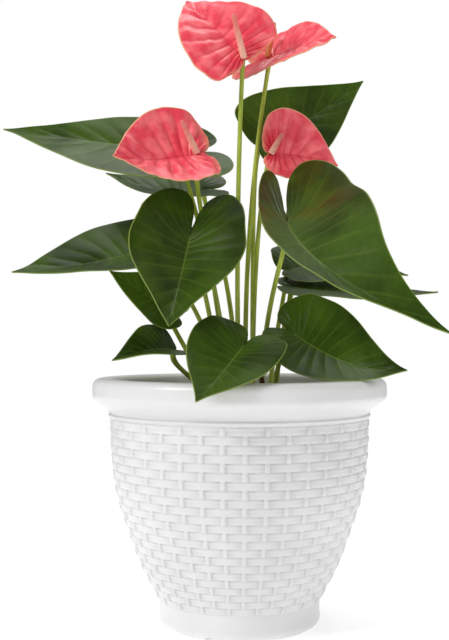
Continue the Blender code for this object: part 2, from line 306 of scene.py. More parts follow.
class Coat:
    """A material while it is made: its wiring and its Principled shader."""

    def __init__(self, name: str, roughness: float, specular: float = 0.5, clear: float = 0.0) -> None:
        """Starts a material.

        Args:
            name: the material's name.
            roughness: its even roughness.
            specular: its specular level.
            clear: the weight of a clear coat.
        """
        self.material = bpy.data.materials.new(name)
        self.material.use_nodes = True
        self.wiring = Wiring(self.material.node_tree)
        self.shader = self.material.node_tree.nodes["Principled BSDF"]
        self.shader.inputs["Roughness"].default_value = roughness
        self.shader.inputs["Specular IOR Level"].default_value = specular
        self.shader.inputs["Coat Weight"].default_value = clear
        self.shader.inputs["Coat Roughness"].default_value = 0.25
        self.coordinates = self.wiring.add("ShaderNodeTexCoord")

    def mottle(self, scale: float, stretch: tuple[float, float, float] = (1.0, 1.0, 1.0)) -> bpy.types.Node:
        """Places the mottle group on object coordinates.

        Args:
            scale: patches per metre.
            stretch: how much denser the pattern is along each axis.

        Returns:
            The group's node.
        """
        mapped = self.wiring.add("ShaderNodeMapping", {0: self.coordinates.outputs["Object"], "Scale": stretch})
        return self.wiring.group(mottle_group(), Vector=mapped.outputs[0], Scale=scale)

    def colour(self, value: object) -> None:
        """Sets the base colour."""
        self.wiring.feed(self.shader, "Base Color", value)

    def roughness(self, value: object, low: float, high: float) -> None:
        """Spreads the roughness between two levels by a 0 to 1 value."""
        spread = self.wiring.add("ShaderNodeMapRange", {"Value": value, "To Min": low, "To Max": high})
        self.wiring.feed(self.shader, "Roughness", spread.outputs[0])

    def bump(self, height: object, depth: float, strength: float = 1.0) -> None:
        """Adds fine relief.

        Args:
            height: the socket read as height, from 0 to 1.
            depth: the height of 1 in mm.
            strength: how much of it shows.
        """
        feeds = {"Height": height, "Distance": depth * MM, "Strength": strength}
        node = self.wiring.add("ShaderNodeBump", feeds)
        self.wiring.feed(self.shader, "Normal", node.outputs[0])


# ------------------------------------------------------------------ finishes

@dataclass(frozen=True)
class BladeFinish:
    """One side of a leaf or spathe, coloured along its veins."""

    name: str
    deep: Colour
    light: Colour
    vein: Colour
    margin: Colour
    veins: float
    vein_share: float = 0.4         # how strongly the side veins are coloured
    vein_width: float = 0.14
    midrib_share: float = 0.7
    midrib_width: float = 0.05
    margin_width: float = 0.03
    notch_share: float = 0.0        # how far the margin's colour spreads over the lobes
    low_roughness: float = 0.35
    high_roughness: float = 0.5
    specular: float = 0.35
    clear: float = 0.0
    patches: float = 45.0
    freckle: float = 0.35           # share of the finer patches in the colour
    grain: float = 0.06             # depth of the fine relief, mm

    def build(self) -> bpy.types.Material:
        """Makes the material.

        Returns:
            The finished material.
        """
        coat = Coat(self.name, self.low_roughness, self.specular, self.clear)
        wiring = coat.wiring
        mottle = coat.mottle(self.patches)
        veins = wiring.group(vein_group(), Pattern=coat.coordinates.outputs["UV"], Veins=self.veins,
                             Vein_Width=self.vein_width, Midrib_Width=self.midrib_width,
                             Margin_Width=self.margin_width)
        fine = wiring.times(mottle.outputs["Fine"], self.freckle)
        broad = wiring.times(mottle.outputs["Broad"], 1 - self.freckle)
        flesh = wiring.blend(wiring.plus(broad, fine), self.deep, self.light)
        for mask, share in (("Veins", self.vein_share), ("Midrib", self.midrib_share)):
            flesh = wiring.blend(wiring.times(veins.outputs[mask], share), flesh, self.vein)
        lobes = wiring.times(veins.outputs["Lobes"], self.notch_share)
        rim = wiring.math("MAXIMUM", veins.outputs["Margin"], lobes)
        coat.colour(wiring.blend(rim, flesh, self.margin))
        coat.roughness(mottle.outputs["Fine"], self.low_roughness, self.high_roughness)
        cells = wiring.noise(coat.coordinates.outputs["Object"], 1400.0, 3.0)
        coat.bump(cells, self.grain)
        return coat.material


@dataclass(frozen=True)
class StalkFinish:
    """A stalk: yellow-green, paler at its foot, with faint long fibres and freckles."""

    name: str = "stalk_skin"
    foot: Colour = paint(196, 200, 104)
    body: Colour = paint(182, 198, 72)
    shade: Colour = paint(148, 168, 52)
    blush: Colour = paint(146, 112, 62)

    def build(self) -> bpy.types.Material:
        """Makes the material.

        Returns:
            The finished material.
        """
        coat = Coat(self.name, 0.42, 0.4)
        wiring = coat.wiring
        streaks = coat.mottle(160.0, (1.0, 1.0, 0.12))
        flesh = wiring.blend(streaks.outputs["Broad"], self.shade, self.body)
        along = wiring.add("ShaderNodeSeparateXYZ", {0: coat.coordinates.outputs["UV"]}).outputs[1]
        pale = wiring.blend(wiring.ramp(along, 0.0, 0.45, 0.7, 0.0), flesh, self.foot)
        freckles = wiring.ramp(wiring.noise(coat.coordinates.outputs["Object"], 900.0, 1.0), 0.62, 0.74)
        coat.colour(wiring.blend(wiring.times(freckles, 0.25), pale, self.blush))
        coat.roughness(streaks.outputs["Fine"], 0.34, 0.52)
        coat.bump(streaks.outputs["Fine"], 0.12)
        return coat.material


@dataclass(frozen=True)
class PlasticFinish:
    """White moulded plastic, satin, a little duller in its recesses, which are darkened with painted shade."""

    name: str = "moulded_white"
    face: Colour = paint(224, 224, 224)
    tint: Colour = paint(218, 218, 219)
    # painted shade: the darker colour mixed into the wall's recesses
    painted_recess_shade: Colour = paint(166, 166, 169)
    texture: float = 0.012          # depth of the mould's grain, mm

    def build(self) -> bpy.types.Material:
        """Makes the material.

        Returns:
            The finished material.
        """
        coat = Coat(self.name, 0.34, 0.45, 0.12)
        wiring = coat.wiring
        mottle = coat.mottle(22.0)
        face = wiring.blend(mottle.outputs["Broad"], self.face, self.tint)
        # Painted shade: the recesses are darkened by the mask that the weave tree stores
        depth = wiring.add("ShaderNodeAttribute", attribute_name="painted_recess_shade").outputs["Fac"]
        coat.colour(wiring.blend(wiring.times(depth, 0.45), face, self.painted_recess_shade))
        dull = wiring.times(wiring.plus(mottle.outputs["Fine"], depth), 0.5)
        coat.roughness(dull, 0.3, 0.42)
        coat.bump(wiring.noise(coat.coordinates.outputs["Object"], 1100.0, 2.0), self.texture)
        return coat.material


@dataclass(frozen=True)
class CrumbFinish:
    """Something coarse and dull: peat, bark, perlite or a dry sheath."""

    name: str
    deep: Colour
    light: Colour
    grain: float                    # patches per metre
    depth: float                    # depth of the relief, mm
    stretch: tuple[float, float, float] = (1.0, 1.0, 1.0)

    def build(self) -> bpy.types.Material:
        """Makes the material.

        Returns:
            The finished material.
        """
        coat = Coat(self.name, 0.9, 0.25)
        wiring = coat.wiring
        mottle = coat.mottle(self.grain, self.stretch)
        patch = wiring.times(mottle.outputs["Broad"], mottle.outputs["Fine"])
        coat.colour(wiring.blend(wiring.ramp(patch, 0.1, 0.6), self.deep, self.light))
        coat.roughness(mottle.outputs["Fine"], 0.75, 1.0)
        coat.bump(mottle.outputs["Fine"], self.depth)
        return coat.material


@dataclass(frozen=True)
class SpadixFinish:
    """The flower spike: pale at its foot, warmer towards its tip."""

    name: str
    foot: Colour
    tip: Colour

    def build(self) -> bpy.types.Material:
        """Makes the material.

        Returns:
            The finished material.
        """
        coat = Coat(self.name, 0.55, 0.35)
        wiring = coat.wiring
        mottle = coat.mottle(420.0)
        along = wiring.add("ShaderNodeAttribute", attribute_name="spike").outputs["Fac"]
        flesh = wiring.blend(wiring.ramp(along, 0.1, 0.95), self.foot, self.tip)
        pale = wiring.blend(wiring.times(mottle.outputs["Broad"], 0.35), flesh, self.foot)
        coat.colour(pale)
        coat.roughness(mottle.outputs["Fine"], 0.45, 0.65)
        coat.bump(mottle.outputs["Fine"], 0.08)
        return coat.material


@dataclass(frozen=True)
class FloorFinish:
    """A plain pale floor with the slightest tooth, which glows a little, like a lit sweep."""

    name: str = "studio_floor"
    pale: Colour = paint(250, 250, 250)
    paler: Colour = paint(253, 253, 253)
    glow: float = 0.38

    def build(self) -> bpy.types.Material:
        """Makes the material.

        Returns:
            The finished material.
        """
        coat = Coat(self.name, 0.8, 0.1)
        mottle = coat.mottle(6.0)
        coat.colour(coat.wiring.blend(mottle.outputs["Broad"], self.pale, self.paler))
        coat.shader.inputs["Emission Color"].default_value = self.paler
        coat.shader.inputs["Emission Strength"].default_value = self.glow
        return coat.material


LEAF_VEINS = 16
SPATHE_VEINS = 12
LEAF_UPPER = BladeFinish("leaf_upper", paint(32, 52, 6), paint(64, 90, 18), paint(108, 132, 46),
                         paint(140, 156, 70), LEAF_VEINS, vein_share=0.2, midrib_share=0.45,
                         midrib_width=0.035, low_roughness=0.28, high_roughness=0.38, specular=0.14,
                         margin_width=0.012, patches=32.0, freckle=0.2, grain=0.03)
LEAF_UNDER = BladeFinish("leaf_under", paint(110, 124, 62), paint(146, 156, 92), paint(176, 182, 116),
                         paint(186, 190, 120), LEAF_VEINS, vein_share=0.55, midrib_share=0.9,
                         low_roughness=0.48, high_roughness=0.62, specular=0.25)
LEAF_EDGE = BladeFinish("leaf_edge", paint(88, 110, 36), paint(124, 142, 60), paint(124, 142, 60),
                        paint(112, 132, 52), LEAF_VEINS, vein_share=0.0, midrib_share=0.0)
SPATHE_FACE = BladeFinish("spathe_face", paint(236, 58, 80), paint(254, 116, 122), paint(212, 42, 66),
                          paint(234, 176, 120), SPATHE_VEINS, vein_share=0.6, vein_width=0.22,
                          midrib_share=0.5, midrib_width=0.07, margin_width=0.018, notch_share=0.55,
                          low_roughness=0.3, high_roughness=0.42, specular=0.42, clear=0.05,
                          patches=130.0, freckle=0.1, grain=0.02)
SPATHE_BACK = BladeFinish("spathe_back", paint(214, 76, 88), paint(234, 118, 118), paint(226, 150, 110),
                          paint(222, 190, 120), SPATHE_VEINS, vein_share=0.6, midrib_share=0.8,
                          midrib_width=0.09, notch_share=0.5, low_roughness=0.4, high_roughness=0.55,
                          patches=90.0)
SPATHE_EDGE = BladeFinish("spathe_edge", paint(224, 116, 104), paint(238, 164, 130), paint(232, 150, 116),
                          paint(232, 158, 122), SPATHE_VEINS, vein_share=0.0, midrib_share=0.0)
SPADIX_ROSE = SpadixFinish("spadix_rose", paint(250, 196, 176), paint(238, 132, 122))
SPADIX_AMBER = SpadixFinish("spadix_amber", paint(246, 168, 112), paint(232, 112, 72))
PEAT = CrumbFinish("peat", paint(34, 24, 16), paint(78, 58, 40), 260.0, 0.9)
BARK = CrumbFinish("bark_chips", paint(58, 38, 24), paint(124, 92, 62), 320.0, 0.4)
PERLITE = CrumbFinish("perlite", paint(206, 202, 192), paint(238, 236, 228), 500.0, 0.2)
DRY_SHEATH = CrumbFinish("dry_sheath_skin", paint(74, 48, 28), paint(142, 104, 66), 300.0, 0.3,
                         (1.0, 1.0, 0.1))


# ------------------------------------------------------------------ mesh helpers

END_DOME = 0.4                      # height of a stem's domed end, in radii
BOX_MARGIN = 0.02                   # how far blades stay inside the frame's box, mm


def link_object(name: str, data: bpy.types.ID) -> bpy.types.Object:
    """An object for a mesh, lamp or camera, added to the scene."""
    made = bpy.data.objects.new(name, data)
    bpy.context.scene.collection.objects.link(made)
    return made


def shape_object(name: str, shape: bmesh.types.BMesh, material: bpy.types.Material) -> bpy.types.Object:
    """An object for a shape that was made face by face.

    Args:
        name: the object's name.
        shape: its mesh data, which is freed.
        material: its material.

    Returns:
        The object.
    """
    mesh = bpy.data.meshes.new(name)
    shape.to_mesh(mesh)
    shape.free()
    mesh.materials.append(material)
    return link_object(name, mesh)


def ring_band(near: int, far: int, count: int, turned: bool = False) -> list[tuple]:
    """Quads between two rings of corners.

    Args:
        near, far: each ring's first corner.
        count: how many corners a ring has.
        turned: True to wind the faces the other way.

    Returns:
        The faces.
    """
    quads = [(near + c, near + (c + 1) % count, far + (c + 1) % count, far + c) for c in range(count)]
    return [(quad[0], *quad[:0:-1]) for quad in quads] if turned else quads


def ring_cap(pole: int, ring: int, count: int, turned: bool = False) -> list[tuple]:
    """Triangles between a pole and a ring of corners.

    Args:
        pole: the corner in the middle.
        ring: the ring's first corner.
        count: how many corners the ring has.
        turned: True to wind the faces the other way.

    Returns:
        The faces.
    """
    fan = [(pole, ring + c, ring + (c + 1) % count) for c in range(count)]
    return [face[::-1] for face in fan] if turned else fan


def drum_faces(rings: int, count: int) -> list[tuple]:
    """Faces of a closed drum, whose two poles follow its rings.

    Args:
        rings: how many rings of corners it has.
        count: how many corners a ring has.

    Returns:
        The faces.
    """
    faces = []
    for ring in range(rings - 1):
        faces += ring_band(ring * count, (ring + 1) * count, count)
    faces += ring_cap(rings * count, 0, count, True)
    return faces + ring_cap(rings * count + 1, (rings - 1) * count, count)


def turned_points(section: list, angles: np.ndarray) -> np.ndarray:
    """Corners of a turned section, ordered by section and then by angle.

    Args:
        section: radius and height pairs.
        angles: headings of the columns, in radians.

    Returns:
        The corners.
    """
    radius, height = np.array(section).T
    return np.stack([np.outer(radius, np.cos(angles)), np.outer(radius, np.sin(angles)),
                     np.outer(height, np.ones(len(angles)))], axis=-1).reshape(-1, 3)


def make_piece(name: str, points: np.ndarray, faces: list, materials: list[bpy.types.Material],
               marks: np.ndarray | None = None, pattern: np.ndarray | None = None) -> bpy.types.Object:
    """A smooth closed mesh object in the frame's place.

    Args:
        name: the piece's name.
        points: corners in mm.
        faces: corner numbers of each face, all wound one way.
        materials: the piece's materials.
        marks: each face's material number.
        pattern: UV values of each corner.

    Returns:
        The object, with its faces outwards.
    """
    mesh = bpy.data.meshes.new(name)
    mesh.from_pydata((points * MM).tolist(), [], faces)
    if signed_volume(mesh) < 0:
        mesh.flip_normals()
    for material in materials:
        mesh.materials.append(material)
    if marks is not None:
        mesh.polygons.foreach_set("material_index", np.asarray(marks, dtype=np.int32))
    if pattern is not None:
        corners = np.zeros(len(mesh.loops), dtype=np.int32)
        mesh.loops.foreach_get("vertex_index", corners)
        layer = mesh.uv_layers.new(name="pattern")
        layer.uv.foreach_set("vector", pattern[corners].astype(np.float32).ravel())
    mesh.shade_smooth()
    return link_object(name, mesh)


def signed_volume(mesh: bpy.types.Mesh) -> float:
    """The volume inside a closed mesh, below zero where it is inside out.

    Args:
        mesh: the mesh to measure.

    Returns:
        The volume in cubic metres.
    """
    mesh.calc_loop_triangles()
    points = np.zeros(len(mesh.vertices) * 3)
    corners = np.zeros(len(mesh.loop_triangles) * 3, dtype=np.int32)
    mesh.vertices.foreach_get("co", points)
    mesh.loop_triangles.foreach_get("vertices", corners)
    a, b, c = np.moveaxis(points.reshape(-1, 3)[corners.reshape(-1, 3)], 1, 0)
    return float(np.einsum("ij,ij->i", a, np.cross(b, c)).sum() / 6)


def settle(piece: bpy.types.Object) -> bpy.types.Object:
    """Turns the result of a piece's modifiers into its plain mesh.

    Args:
        piece: the object whose modifiers are to be kept.

    Returns:
        The same object, with no modifiers.
    """
    evaluated = piece.evaluated_get(bpy.context.evaluated_depsgraph_get())
    result = bpy.data.meshes.new_from_object(evaluated)
    piece.modifiers.clear()
    old = piece.data
    piece.data = result
    bpy.data.meshes.remove(old)
    return piece


def run_tree(piece: bpy.types.Object, wiring: Wiring, values: dict[str, object]) -> bpy.types.Object:
    """Runs a geometry tree on a piece and keeps its result.

    Args:
        piece: the object the tree works on.
        wiring: the tree.
        values: its inputs by name.

    Returns:
        The same object, with the result as its plain mesh.
    """
    modifier = piece.modifiers.new(wiring.tree.name, "NODES")
    modifier.node_group = wiring.tree
    for item in wiring.tree.interface.items_tree:
        if item.in_out == "INPUT" and item.name in values:
            modifier[item.identifier] = values[item.name]
    return settle(piece)


def end_tree(wiring: Wiring, geometry: bpy.types.NodeSocket) -> Wiring:
    """Ends a geometry tree with its result, in the material given as Finish.

    Args:
        wiring: the tree.
        geometry: its result.

    Returns:
        The wiring of the finished tree.
    """
    dressed = wiring.add("GeometryNodeSetMaterial", {"Geometry": geometry, "Material": wiring.given["Finish"]})
    wiring.add("NodeGroupOutput", {0: dressed.outputs[0]})
    return wiring


def finish_piece(piece: bpy.types.Object, slot: Slot, *nodes: str) -> bpy.types.Object:
    """Fixes a finished piece to the frame and reports it.

    Args:
        piece: the finished object.
        slot: the record's slot for its finish. It is not used.
        nodes: the frame nodes that it stands for.

    Returns:
        The same object.
    """
    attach(piece, BODY)
    if nodes:
        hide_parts(*nodes)
    corners = np.array([corner[:] for corner in piece.bound_box])
    size = np.round((corners.max(0) - corners.min(0)) / MM, 1)
    LOG.info("%s: %d faces, %s mm", piece.name, len(piece.data.polygons), size.tolist())
    return piece


def inside_frame(points: np.ndarray) -> np.ndarray:
    """Keeps points inside the frame's own box.

    Args:
        points: places in mm.

    Returns:
        The places, held back at the box's walls.
    """
    return np.clip(points, np.array(LOW_CORNER) / MM + BOX_MARGIN, np.array(HIGH_CORNER) / MM - BOX_MARGIN)


def unit(vectors: np.ndarray) -> np.ndarray:
    """Vectors along the last axis, each made one long."""
    return vectors / np.maximum(np.linalg.norm(vectors, axis=-1, keepdims=True), 1e-9)


def arc(centre: tuple[float, float], radius: float, start: float, end: float,
        count: int) -> list[tuple[float, float]]:
    """Points of a round stretch of a section.

    Args:
        centre: radius and height of the arc's middle.
        radius: the arc's own radius.
        start, end: its angles in degrees.
        count: how many points.

    Returns:
        Radius and height pairs.
    """
    angles = np.radians(np.linspace(start, end, count))
    return [(centre[0] + radius * math.cos(a), centre[1] + radius * math.sin(a)) for a in angles]


def smooth_curve(points: tuple, shares: np.ndarray) -> np.ndarray:
    """Reads a smooth curve through the given points.

    Args:
        points: the curve's points.
        shares: places along it, from 0 to 1.

    Returns:
        A row of coordinates for each share.
    """
    rows = np.array(points, dtype=float)
    rows = np.vstack([2 * rows[0] - rows[1], rows, 2 * rows[-1] - rows[-2]])
    place = shares * (len(points) - 1)
    cell = np.minimum(place.astype(int), len(points) - 2)
    part = (place - cell)[:, None]
    a, b, c, d = (rows[cell + step] for step in range(4))
    return 0.5 * (2 * b + (c - a) * part + (2 * a - 5 * b + 4 * c - d) * part ** 2
                  + (3 * b - a - 3 * c + d) * part ** 3)


def turned_ring(name: str, section: list, angles: np.ndarray,
                materials: list[bpy.types.Material]) -> bpy.types.Object:
    """A closed ring turned from a closed section.

    Args:
        name: the piece's name.
        section: radius and height pairs round the section.
        angles: headings of the columns, in radians.
        materials: the piece's materials.

    Returns:
        The ring, with corners ordered by section and then by angle.
    """
    rows, columns = len(section), len(angles)
    faces = []
    for row in range(rows):
        faces += ring_band(row * columns, (row + 1) % rows * columns, columns)
    return make_piece(name, turned_points(section, angles), faces, materials)


def turned_solid(name: str, section: list, columns: int,
                 materials: list[bpy.types.Material]) -> bpy.types.Object:
    """A closed solid turned from a section that starts and ends on the axis.

    Args:
        name: the piece's name.
        section: radius and height pairs.
        columns: how many faces go round.
        materials: the piece's materials.

    Returns:
        The solid.
    """
    points = turned_points(section[1:-1], np.linspace(0, 2 * math.pi, columns, endpoint=False))
    points = np.vstack([points, (0, 0, section[0][1]), (0, 0, section[-1][1])])
    return make_piece(name, points, drum_faces(len(section) - 2, columns), materials)


def tube(name: str, path: np.ndarray, radii: np.ndarray, sides: int,
         materials: list[bpy.types.Material]) -> bpy.types.Object:
    """A closed round stem along a path, with domed ends.

    Args:
        name: the piece's name.
        path: places in mm.
        radii: the stem's radius at each.
        sides: how many faces go round.
        materials: the piece's materials.

    Returns:
        The stem. Its UV map runs round it in X and along it in Y.
    """
    ahead = unit(np.gradient(path, axis=0))
    across = np.array([1.0, 0.0, 0.0])
    angles = np.linspace(0, 2 * math.pi, sides, endpoint=False)
    rings = []
    for place, way, radius in zip(path, ahead, radii):
        across = unit(across - way * across.dot(way))
        up = np.cross(way, across)
        rings.append(place + radius * (np.outer(np.cos(angles), across) + np.outer(np.sin(angles), up)))
    ends = [path[0] - ahead[0] * radii[0] * END_DOME, path[-1] + ahead[-1] * radii[-1] * END_DOME]
    run = np.repeat(np.linspace(0, 1, len(path)), sides)
    turn = np.tile(np.linspace(0, 1, sides, endpoint=False), len(path))
    pattern = np.vstack([np.column_stack([turn, run]), (0.5, 0.0), (0.5, 1.0)])
    return make_piece(name, np.vstack([*rings, *ends]), drum_faces(len(path), sides), materials,
                      pattern=pattern)


# ------------------------------------------------------------------ planter

BAR_SOFTNESS = 0.03                 # width of a bar's rounded side, in stakes
COUNT_SLACK = 0.001                 # keeps a band's lower line inside the band


@cache
def weave_tree() -> Wiring:
    """Raises a plain basket pattern on a wall.

    The wall carries two running counts, stake round it and course down it, and a mask. Upright bars
    cross every second band, and each band holds two reeds that dip under the bars beside them.

    Returns:
        The wiring of the geometry tree.
    """
    inputs = {"Bar Half Width": 0.105, "Bar Height": 0.55, "Reed Depth": 0.5, "Band Wave": 0.22, "Finish": None}
    wiring = new_group("basket_weave", "GeometryNodeTree", inputs, {"Geometry": "NodeSocketGeometry"})

    def read(name: str) -> bpy.types.NodeSocket:
        """A number stored on the wall's corners."""
        return wiring.add("GeometryNodeInputNamedAttribute", {"Name": name}, data_type="FLOAT").outputs[0]

    stake, course = read("stake"), read("course")
    off_stake = wiring.minus(wiring.math("FRACT", wiring.plus(stake, 0.5)), 0.5)
    reach = wiring.math("ABSOLUTE", off_stake)
    stake_number = wiring.math("FLOOR", wiring.plus(stake, 0.5))
    course_number = wiring.math("FLOOR", wiring.plus(course, COUNT_SLACK))
    over = wiring.math("MODULO", wiring.plus(stake_number, course_number), 2.0)
    edge = wiring.plus(wiring.given["Bar Half Width"], BAR_SOFTNESS)
    bar = wiring.times(over, wiring.ramp(reach, wiring.given["Bar Half Width"], edge, 1.0, 0.0))
    within = wiring.math("FRACT", wiring.plus(course, COUNT_SLACK))
    half_turn = wiring.math("SINE", wiring.times(within, math.pi))
    full_turn = wiring.math("ABSOLUTE", wiring.math("SINE", wiring.times(within, 2 * math.pi)))
    reed = wiring.math("POWER", full_turn, 0.6)
    seam = wiring.math("POWER", half_turn, 0.45)
    band = wiring.plus(wiring.times(reed, 0.45), wiring.times(seam, 0.55))
    band = wiring.times(wiring.minus(band, 1.0), wiring.given["Reed Depth"])
    swing = wiring.math("COSINE", wiring.times(wiring.plus(stake, course_number), math.pi))
    wave = wiring.times(swing, wiring.given["Band Wave"])
    crown = wiring.times(wiring.math("POWER", reach, 2.0), -12.0)
    upright = wiring.times(wiring.plus(crown, seam), wiring.given["Bar Height"])
    plain = wiring.plus(band, wave)
    gain = wiring.times(bar, wiring.minus(upright, plain))
    relief = wiring.times(wiring.plus(plain, gain), read("woven"))
    normal = wiring.add("GeometryNodeInputNormal").outputs["Normal"]
    shift = wiring.add("ShaderNodeVectorMath", {0: normal}, operation="SCALE")
    wiring.feed(shift, "Scale", wiring.times(relief, MM))
    moved = wiring.add("GeometryNodeSetPosition", {"Geometry": wiring.given["Geometry"],
                                                   "Offset": shift.outputs[0]})
    # Painted shade: a mask, 1 where the relief sinks deepest, by which the plastic is painted darker
    painted_recess_shade = wiring.ramp(relief, -0.75, 0.1, 1.0, 0.0)
    marked = wiring.add("GeometryNodeStoreNamedAttribute",
                        {"Geometry": moved.outputs[0], "Name": "painted_recess_shade", "Value": painted_recess_shade},
                        data_type="FLOAT", domain="POINT")
    real = wiring.add("GeometryNodeRealizeInstances", {0: marked.outputs[0]})
    return end_tree(wiring, real.outputs[0])


@dataclass
class Planter:
    """A white planter with a rolled rim, a basket-pattern wall and a smooth foot, in mm."""

    rim_radius: float = 82.0
    rim_top: float = 136.0
    rim_roll: float = 4.5
    rim_low: float = 127.5
    mouth: float = 69.0
    mouth_fillet: float = 3.0
    mouth_rings: tuple = (128.0, 120.0)
    bead: tuple = (72.3, 115.9, 0.8)        # radius, height and size of the bead under the rim
    cove: tuple = (76.1, 116.9, 3.6)        # the same for the hollow above the bead
    underside: tuple = ((75.2, 120.6), (77.6, 122.2))
    rim_columns: int = 256
    neck: float = 72.0
    wall: float = 3.0
    floor: float = 4.0
    foot: float = 45.0
    foot_fillet: float = 4.5
    foot_curve: tuple = ((0.1, 13.0), (0.3, 10.0), (0.2, 7.0))      # inset and height
    floor_curve: tuple = ((6.0, 0.0), (3.0, 0.6), (0.6, 4.0))       # inset and rise over the floor
    foot_columns: int = 192
    crease: float = 40.0            # angle from which the foot's edges are sharp
    seat: float = 14.0              # height at which the wall meets the foot
    shoulder: float = 114.0         # height at which the wall meets the rim
    curve: tuple = ((72.0, 114.0), (71.4, 97.0), (70.0, 81.0), (67.0, 67.0), (62.0, 52.0),
                    (55.8, 35.0), (48.5, 20.5), (45.0, 14.0))
    stakes: int = 40
    courses: int = 23
    stake_turn: float = 1.6         # degrees by which the first stake is turned from +X
    stake_lines: tuple = (-0.5, -0.34, -0.2, -0.135, -0.1, 0.0, 0.1, 0.135, 0.2, 0.34)
    course_lines: tuple = (0.0, 0.12, 0.3, 0.5, 0.7, 0.88)
    relief_width: float = 9.0
    relief_depth: float = 1.7
    relief_start: float = 15.0
    reliefs: int = 4
    relief_turn: float = -108.0
    hole: float = 4.0
    hole_place: float = 26.0

    def build(self) -> list[bpy.types.Object]:
        """Makes the planter's three pieces.

        Returns:
            The rim, the wall and the foot.
        """
        finish = PlasticFinish().build()
        made = [self.build_rim(finish), self.build_wall(finish), self.build_foot(finish)]
        return [finish_piece(piece, Slot.PLASTIC, "planter") for piece in made]

    def build_rim(self, finish: bpy.types.Material) -> bpy.types.Object:
        """The rolled rim, with a fine moulding under its cove.

        Args:
            finish: the plastic.

        Returns:
            The rim's object.
        """
        edge = self.rim_radius - self.rim_roll
        section = [(self.mouth, self.shoulder), (self.neck, self.shoulder)]
        section += arc(self.bead[:2], self.bead[2], -70, 80, 6)
        section += arc(self.cove[:2], self.cove[2], 175, 118, 5)
        section += self.underside
        section += arc((edge, self.rim_low), self.rim_roll, -55, 0, 8)
        section += arc((edge, self.rim_top - self.rim_roll), self.rim_roll, 0, 90, 10)
        section += [(0.5 * (self.mouth + self.rim_radius), self.rim_top)]
        section += arc((self.mouth + self.mouth_fillet, self.rim_top - self.mouth_fillet),
                       self.mouth_fillet, 90, 180, 7)
        section += [(self.mouth, height) for height in self.mouth_rings]
        angles = np.linspace(0, 2 * math.pi, self.rim_columns, endpoint=False)
        return turned_ring("planter_rim", section, angles, [finish])

    def build_wall(self, finish: bpy.types.Material) -> bpy.types.Object:
        """The wall, with its basket pattern raised by a geometry tree.

        Args:
            finish: the plastic.

        Returns:
            The wall's object.
        """
        stake = np.concatenate([number + np.array(self.stake_lines) for number in range(self.stakes)])
        angles = 2 * math.pi * stake / self.stakes + math.radians(self.stake_turn)
        course = np.concatenate([number + np.array(self.course_lines) for number in range(self.courses)])
        course = np.append(course, self.courses)
        outside = smooth_curve(self.curve, self.even_shares(course / self.courses))
        inside = smooth_curve(self.curve, np.linspace(1, 0, 14)) - (self.wall, 0.0)
        section = [tuple(point) for point in np.vstack([outside, inside])]
        wall = turned_ring("planter_wall", section, angles, [finish])
        rows = len(section)
        counts = np.concatenate([course, np.zeros(len(inside))])
        mask = np.concatenate([np.clip(np.minimum(course, self.courses - course) * 4, 0, 1),
                               np.zeros(len(inside))])
        for name, values in (("stake", np.tile(stake, rows)), ("course", np.repeat(counts, len(angles))),
                             ("woven", np.repeat(mask, len(angles)))):
            attribute = wall.data.attributes.new(name, "FLOAT", "POINT")
            attribute.data.foreach_set("value", values.astype(np.float32))
        return run_tree(wall, weave_tree(), {"Finish": finish})

    def even_shares(self, spans: np.ndarray) -> np.ndarray:
        """Places on the wall's curve that are evenly spaced along it.

        Args:
            spans: shares of the curve's length.

        Returns:
            Shares of its points.
        """
        fine = np.linspace(0, 1, 400)
        steps = np.linalg.norm(np.diff(smooth_curve(self.curve, fine), axis=0), axis=1)
        run = np.concatenate([[0.0], np.cumsum(steps)])
        return np.interp(spans, run / run[-1], fine)

    def build_foot(self, finish: bpy.types.Material) -> bpy.types.Object:
        """The smooth foot and floor, with drain reliefs and holes cut through.

        Args:
            finish: the plastic.

        Returns:
            The foot's object.
        """
        inner = self.foot - self.wall
        section = [(0.0, self.floor)]
        section += [(inner - inset, self.floor + rise) for inset, rise in self.floor_curve]
        section += [(inner, self.seat), (self.foot, self.seat)]
        section += [(self.foot - inset, height) for inset, height in self.foot_curve]
        section += arc((self.foot - self.foot_fillet, self.foot_fillet), self.foot_fillet, 0, -90, 9)
        section += [(self.relief_start, 0.0), (0.0, 0.0)]
        foot = turned_solid("planter_foot", section, self.foot_columns, [finish])
        cutters = []
        for number in range(self.reliefs):
            heading = math.radians(self.relief_turn + 360 * number / self.reliefs)
            cutters += [self.relief_cutter(heading, finish), self.hole_cutter(heading, finish)]
        for cutter in cutters:
            modifier = foot.modifiers.new(cutter.name, "BOOLEAN")
            modifier.operation = "DIFFERENCE"
            modifier.object = cutter
        settle(foot)
        for cutter in cutters:
            bpy.data.objects.remove(cutter, do_unlink=True)
        foot.data.set_sharp_from_angle(angle=math.radians(self.crease))
        return foot

    def relief_cutter(self, heading: float, finish: bpy.types.Material) -> bpy.types.Object:
        """A radial bar that leaves a shallow channel under the foot.

        Args:
            heading: its direction in radians.
            finish: the plastic.

        Returns:
            The cutter's object.
        """
        reach = 1.2 * self.foot
        bar = bmesh.new()
        bmesh.ops.create_cube(bar, size=1.0)
        size = Vector((reach - self.relief_start, self.relief_width, 2 * self.relief_depth)) * MM
        bmesh.ops.scale(bar, verts=bar.verts, vec=size)
        bmesh.ops.translate(bar, verts=bar.verts, vec=(0.5 * (reach + self.relief_start) * MM, 0, 0))
        bmesh.ops.rotate(bar, verts=bar.verts, matrix=Matrix.Rotation(heading, 3, "Z"))
        return shape_object("cutter", bar, finish)

